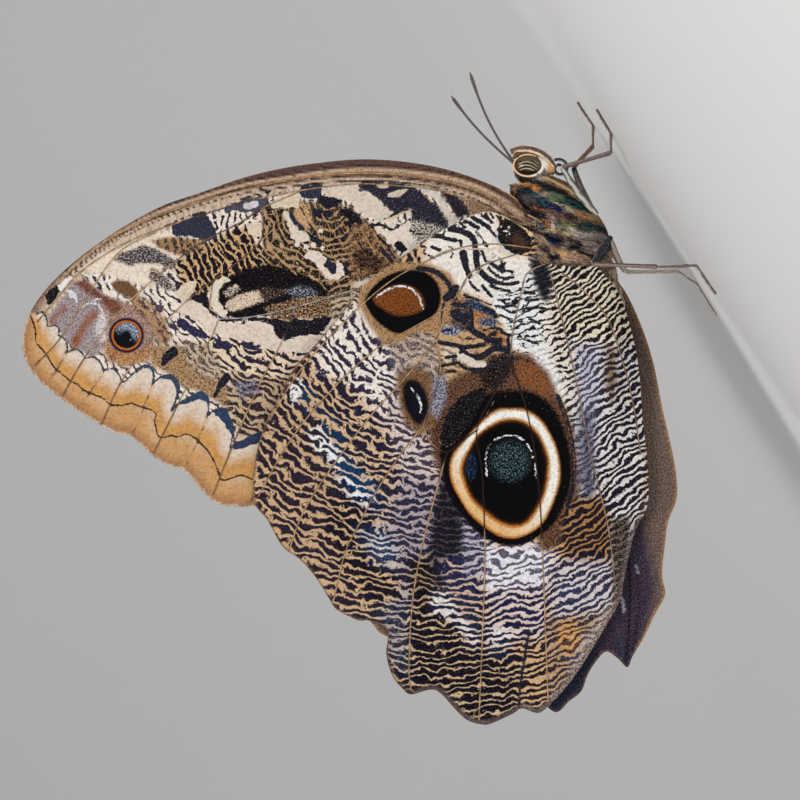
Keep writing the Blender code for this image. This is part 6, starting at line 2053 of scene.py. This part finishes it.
# Bands round each part of a leg, from its top down: near side first, then far side
LEG_BANDS = {
    "midleg_r": (
        [(0.66, 0x464A42), (0.1, 0xCECCBC), (-0.3, 0xD6D2C6),
         (-0.6, 0x42445C), (-1, 0x685C54)],
        [(0.55, 0x60504C), (0.0, 0x8C766A), (-0.45, 0x6C5A54),
         (-1, 0x564846)],
        [(0.2, 0x7A665C), (-1, 0x5C4E4A)]),
    "hindleg_r": (
        [(0.5, 0xB09476), (0.1, 0x786860), (-0.5, 0x1E2E42),
         (-1, 0x1A1C24)],
        [(0.5, 0x806A5E), (0.0, 0x988274), (-0.5, 0x685852),
         (-1, 0x544846)],
        [(0.2, 0x826C60), (-1, 0x62544E)]),
    "midleg_l": (
        [(0.4, 0x605454), (-0.2, 0x968A84), (-1, 0x5C5050)],
        [(0.3, 0xBE7A42), (-0.3, 0xA66A3E), (-1, 0x7A543C)],
        [(0.2, 0x806A5C), (-1, 0x60524C)]),
    "hindleg_l": (
        [(0.5, 0x7C685A), (0.15, 0xE2DACE), (-0.2, 0x967A62),
         (-0.55, 0xE0D8CC), (-1, 0x78665C)],
        [(0.3, 0xE2DCD2), (-0.2, 0xC4B8AA), (-0.6, 0x968476),
         (-1, 0xCEC4B6)],
        [(0.2, 0xD6CEC2), (-1, 0x96887C)]),
}


def leg_tints(kind, piece, spots):
    """The colours of one part of a leg, from how high each point lies round it."""
    spots = np.array(spots)
    found = banded(spots[:, 1] + 0.1 * np.sin(spots[:, 0] * 23.0), LEG_BANDS[kind][piece])
    if kind == "midleg_l" and piece == 0:
        wash(found, SOOT, smoothstep(0.84, 0.92, spots[:, 0]))
    return found


def build_leg(kind, places, side, suffix, material):
    """Thigh, shank with spurs and spines, five foot joints, and two claws."""
    hip, knee, ankle, toe = (placed(places[key], side) for key in ("hip", "knee", "ankle", "toe"))
    name = f"{kind}_{suffix}"
    t = np.linspace(0, 1, 9)[:, None]
    bow = np.array([0, 0, 0.3]) * np.sin(np.pi * t)
    parts = [limb(hip + (knee - hip) * t + bow, [FEMUR_RADIUS * r for r in THIGH_SHAPE]),
             limb(knee + (ankle - knee) * t, [TIBIA_RADIUS * r for r in SHANK_SHAPE])]
    foot = smooth_path(tarsus_path(ankle, toe), 0.12)
    foot[:, 2] = np.maximum(foot[:, 2], FLOOR + 0.1)
    lengths = np.concatenate([[0], np.cumsum(np.linalg.norm(np.diff(foot, axis=0), axis=1))])
    share = lengths / lengths[-1]
    phase = np.interp(share, FOOT_JOINTS, np.arange(6))
    local = phase - np.floor(np.minimum(phase, 4.999))
    swell = 0.62 + 0.26 * smoothstep(0.3, 0.95, local)
    radii = TARSUS_RADIUS * swell * (1 - 0.3 * smoothstep(0.97, 1.0, local))
    parts.append(tube(foot, radii, 12, flat_floor=True))
    way = toe - foot[-12]
    way[2] = 0
    way /= np.linalg.norm(way)
    out = np.array([-way[1], way[0], 0.0])
    for turn in (-1, 1):
        claw = np.array([toe - way * 0.35 + out * turn * 0.08,
                         toe - way * 0.1 + out * turn * 0.22 + [0, 0, 0.12],
                         toe + way * 0.02 + out * turn * 0.2 + [0, 0, 0.02]])
        claw[:, 2] = np.maximum(claw[:, 2], FLOOR + 0.07) + [0.06, 0.12, 0.0]
        claw = smooth_path(claw, 0.08)
        parts.append(tube(claw, np.linspace(0.08, 0.02, len(claw)), 6))
        spur = ankle + out * turn * 0.25
        reach = foot[len(foot) // 6] - ankle
        reach /= np.linalg.norm(reach)
        parts.append(thorn(spur, spur + reach * 0.95 + out * turn * 0.3, 0.075))
    axis = (ankle - knee) / np.linalg.norm(ankle - knee)
    outward = np.cross(axis, [0, 0, 1.0])
    outward /= np.linalg.norm(outward)
    for k in range(13):
        base = knee + (ankle - knee) * (0.12 + 0.065 * k)
        for turn in (-1, 1):
            root = base + outward * turn * TIBIA_RADIUS * 0.55
            root -= np.cross(outward, axis) * TIBIA_RADIUS * 0.4
            parts.append(thorn(root, root + axis * 0.4 + outward * turn * 0.22, 0.04))
    for k in range(14):
        i = int(len(foot) * (0.3 + 0.05 * k))
        base = foot[min(i, len(foot) - 3)]
        for turn in (-1, 1):
            root = base + out * turn * TARSUS_RADIUS * 0.5
            tip = root + way * 0.25 + out * turn * 0.2
            tip[2] = max(FLOOR + 0.03, tip[2] - 0.1)
            parts.append(thorn(root, tip, 0.035))
    tints = np.concatenate([leg_tints(name, min(k, 2), part[2]) for k, part in enumerate(parts)])
    replaced = [f"{name}_{piece}" for piece in ("femur", "tibia", "tarsus")]
    limb_object(f"{name}_whole", parts, material, replaced, tints)


def build_foreleg(side, suffix, material, coat):
    """The short brush-like front leg, folded under the head."""
    path = smooth_path([placed(p, side) for p in FORELEG], 0.2)
    build_furred(f"foreleg_{suffix}", "limb", path, FORELEG_RADII, 14, foreleg_tints, material, coat,
                 f"foreleg_{suffix}", 1100, (0.4, 0.75), (0.1, 0.35))


def build_furred(name, part, path, widths, sides, tints, skin, coat, node, count, length, erect):
    """A limb of skin and its hair, which lies toward the limb's end."""
    radii = np.interp(np.linspace(0, 1, len(path)), np.linspace(0, 1, len(widths)), widths)
    verts, faces, spots = tube(path, radii, sides)
    verts = np.array(verts)
    spots = np.array(spots)
    skin_object(f"{name}_{part}", verts, faces, tints(verts, spots), skin, [node])
    grid = verts.reshape(len(path), sides, 3)
    normals, along = grid_normals(grid)
    roots, up, flow, places = scatter(grid, normals, along, count, lambda g: np.ones(g.shape[:2]))
    share = (places - 0.02) / 0.96
    around = share[:, 1] * 2 * np.pi
    s = np.column_stack([share[:, 0], np.sin(around), np.cos(around)])
    lengths = RANDOM.uniform(*length, count)
    build_hair(f"{name}_hair", roots, up, flow, lengths, RANDOM.uniform(*LIMB_HAIR_WIDTH, count),
               RANDOM.uniform(*erect, count), tints(roots, s), places, coat, [node])


def foreleg_tints(p, s):
    """Tan above, browner below."""
    return between(0x6E5442, 0xCEA87E, smoothstep(0.0, 0.5, s[:, 1]))


def palp_tints(p, s):
    """A thin white front edge, a brown-grey band, a cream line behind, and a tan tip."""
    outward = np.cos(np.arctan2(s[:, 2], s[:, 1]) - 0.2)
    found = spread(0x78665C, len(s))
    dusky = smoothstep(-0.5, -0.3, outward) * smoothstep(0.1, -0.1, outward)
    front = smoothstep(-0.74, -0.84, outward) * smoothstep(0.72, 0.6, s[:, 0])
    back = smoothstep(0.32, 0.46, outward) * smoothstep(0.97, 0.88, s[:, 0])
    tuft = smoothstep(-0.5, -0.75, outward) * smoothstep(0.64, 0.74, s[:, 0])
    tip = smoothstep(0.84, 0.95, s[:, 0]) * smoothstep(0.7, 0.4, outward)
    for mask, shade in ((dusky, 0x54484A), (front, 0xF8EADA), (back, 0xF4D8B6),
                        (tuft, 0xC48E60), (tip, 0x806650)):
        wash(found, shade, mask)
    return found


def build_palp(side, suffix, skin, coat):
    """A flat, hairy mouth part that curves up before the face."""
    path = smooth_path([(x, side * PALP_SIDE, z) for x, z in PALP_PATH], 0.2)
    build_furred(f"palp_{suffix}", "body", path, PALP_RADII, 20, palp_tints, skin, coat,
                 f"palp_{suffix}", 2200, (0.28, 0.5), (0.05, 0.2))


def build_face(side, suffix, skin, coat):
    """The hairy rim of the face, between the eye, the palp and the cheek."""
    x, z = chart_to_body(plate(*FACE_LINE))
    path = smooth_path(np.column_stack([x, side * np.array(FACE_OUT), z]), 0.15)
    build_furred(f"face_{suffix}", "rim", path, FACE_RADII, 14, lambda p, s: body_tints(p), skin, coat,
                 "head", 1500, (0.25, 0.5), (0.1, 0.4))


def build_antenna(side, suffix, material):
    """A ringed feeler that thickens to a slim club."""
    count = ANTENNA_RINGS * 4 + 1
    path = []
    radii = []
    for k in range(count):
        t = k / (count - 1)
        ahead = ANTENNA_REACH * t
        out = math.tan(ANTENNA_SPREAD) * ANTENNA_REACH * (t - 0.12 * math.sin(math.pi * t))
        rise = ANTENNA_ARCH * math.sin(math.pi * t) - ANTENNA_DROOP * t * t
        rise += ANTENNA_RAISE_L * ahead if side > 0 else 0.0
        path.append((ANTENNA_ROOT[0] + ahead, side * (ANTENNA_ROOT_SIDE + out), ANTENNA_ROOT[1] + rise))
        club = (ANTENNA_CLUB - ANTENNA_RADIUS) * float(smoothstep(0.74, 0.9, t))
        base = 0.1 * float(smoothstep(0.04, 0.0, t))
        ring = (1.0, 0.93, 0.9, 0.95)[k % 4]
        radii.append((ANTENNA_RADIUS + club + base) * (1 - 0.7 * float(smoothstep(0.94, 1.0, t))) * ring)
    limb_object(f"antenna_{suffix}_whole", [tube(path, radii, 14)], material, [f"antenna_{suffix}"])


def antenna_material():
    """Dark horn with a pale band on each ring."""
    n = Nodes("antenna_horn", 0.45, Specular_IOR_Level=0.4, Sheen_Weight=0.15)
    share = n.split(n.field("spot"))[0]
    ring = n.math("FRACT", share * float(ANTENNA_RINGS))
    place = n.object_place()
    base = n.mix(n.smooth(0.42, 0.3, ring), 0x32262A, 0xAA9E9C)
    base = n.mix(n.smooth(0.08, 0.2, share), n.mix(0.6, base, 0x604C54), base)
    base = n.mix(n.noise(place, 5000.0, 2.0, 0.7) * 0.5, base, 0x1E1618)
    base = n.mix(n.smooth(0.965, 0.985, share), base, 0x78543C)
    n.bump(n.noise(place, 6000.0), 0.3, 0.00005)
    return n.finish(base)


def build_proboscis(material):
    """The tongue, coiled like a watch spring below the face."""
    count = 90
    path = []
    for k in range(count):
        t = k / (count - 1)
        reach = PROBOSCIS_INNER + (PROBOSCIS_OUTER - PROBOSCIS_INNER) * t
        turn = 2 * math.pi * PROBOSCIS_TURNS * (t - 1) + PROBOSCIS_END
        path.append((PROBOSCIS_CENTRE[0] + reach * math.cos(turn), 0.0,
                     PROBOSCIS_CENTRE[1] + reach * math.sin(turn)))
    radii = [PROBOSCIS_RADIUS * (0.94 + 0.06 * (k % 3 == 0)) for k in range(count)]
    coil = tube(path, radii, 16)
    tints = banded(np.array(coil[2])[:, 1], PROBOSCIS_BANDS)
    limb_object("proboscis_coil", [coil], material, ["proboscis"], tints)


def build_room():
    """A pale floor that curves up into a backdrop, a camera square to the wings, and soft lamps."""
    depth = [(-1.6, 0.0), (0.1, 0.0)]
    for t in np.linspace(0.01, 1.0, 90):
        slope = 0.5 * math.pi * t * t * (3 - 2 * t)
        depth.append((depth[-1][0] + 0.017 * math.cos(slope), depth[-1][1] + 0.017 * math.sin(slope)))
    depth.append((depth[-1][0], 4.0))
    verts = [(x, y, z) for y, z in depth for x in (-3.0, 3.0)]
    faces = [[2 * k, 2 * k + 1, 2 * k + 3, 2 * k + 2] for k in range(len(depth) - 1)]
    mesh = bpy.data.meshes.new("studio_floor")
    mesh.from_pydata(verts, [], faces)
    mesh.shade_smooth()
    n = Nodes("studio_paper", 0.8)
    paper = n.mix(n.noise(n.object_place(), 3.0), 0xDEDCD8, 0xE8E6E3)
    mesh.materials.append(n.finish(paper))
    add_object("studio_floor", mesh)

    data = bpy.data.cameras.new("camera")
    camera = add_object("camera", data)
    centre = (Vector((VIEW_CENTRE[0], -2.0, VIEW_CENTRE[1])) + Vector(SHIFT)) * MM
    right = Vector((-COS_PITCH, 0.0, -SIN_PITCH))
    up = Vector((SIN_PITCH, 0.0, -COS_PITCH))
    back = right.cross(up)
    stand = [c + b * VIEW_DISTANCE * MM for c, b in zip(centre, back)]
    camera.matrix_world = Matrix([(*row, 0.0) for row in (right, up, back)] + [(*stand, 1.0)]).transposed()
    data.sensor_fit = "HORIZONTAL"
    data.sensor_width = SENSOR
    data.lens = SENSOR * VIEW_DISTANCE / VIEW_WIDTH
    data.clip_start = 0.01
    data.clip_end = 10.0
    scene = bpy.context.scene
    scene.camera = camera

    for name, place, size, power in LAMPS:
        data = bpy.data.lights.new(name, "AREA")
        data.size = size
        data.energy = power
        lamp = add_object(name, data)
        lamp.location = place
        lamp.rotation_euler = (Vector(LAMP_AIM) - Vector(place)).to_track_quat("-Z", "Y").to_euler()
    world = bpy.data.worlds.new("room")
    world.use_nodes = True
    sky = world.node_tree.nodes["Background"]
    sky.inputs[0].default_value = (0.9, 0.93, 1.0, 1.0)
    sky.inputs[1].default_value = 0.32
    scene.world = world
    scene.view_settings.view_transform = "Standard"


def main():
    """Builds the room, the wings, the body and the limbs."""
    build_room()
    hind_under = under_material("hindwing_underside", (big_spot, second_spot, third_spot))
    fore_under = under_material("forewing_underside", (fore_spot, no_spot, no_spot))
    upper = upper_material("wing_upperside")
    fore = wing_web(FORE_OUTLINE, FORE_VEINS, [plate(*FORE_WAVE), plate(*FORE_SCALLOPS)])
    near_hind = wing_web(HIND_OUTLINE, HIND_VEINS, [])
    far_hind = wing_web(worn_outline(), HIND_VEINS, [])
    for side, suffix, hind, angle in ((-1, "r", near_hind, 0.0), (1, "l", far_hind, FAR_HIND_TURN)):
        build_wing(f"forewing_{suffix}", fore, side, fore_height, 0.0, fore_pattern, fore_under, upper)
        build_wing(f"hindwing_{suffix}", hind, side, hind_height, angle, hind_pattern, hind_under, upper)
    build_trunk()
    eye = eye_material()
    coat = fur_material("limb_coat")
    skin = fur_material("limb_skin")
    horn = leg_material("leg_horn")
    feeler = antenna_material()
    build_proboscis(horn)
    for side, suffix, midleg, hindleg in ((-1, "r", MIDLEG_R, HINDLEG_R), (1, "l", MIDLEG_L, HINDLEG_L)):
        build_eye(side, suffix, eye, skin)
        build_palp(side, suffix, skin, coat)
        build_face(side, suffix, skin, coat)
        build_antenna(side, suffix, feeler)
        build_foreleg(side, suffix, skin, coat)
        build_leg("midleg", midleg, side, suffix, horn)
        build_leg("hindleg", hindleg, side, suffix, horn)


main()
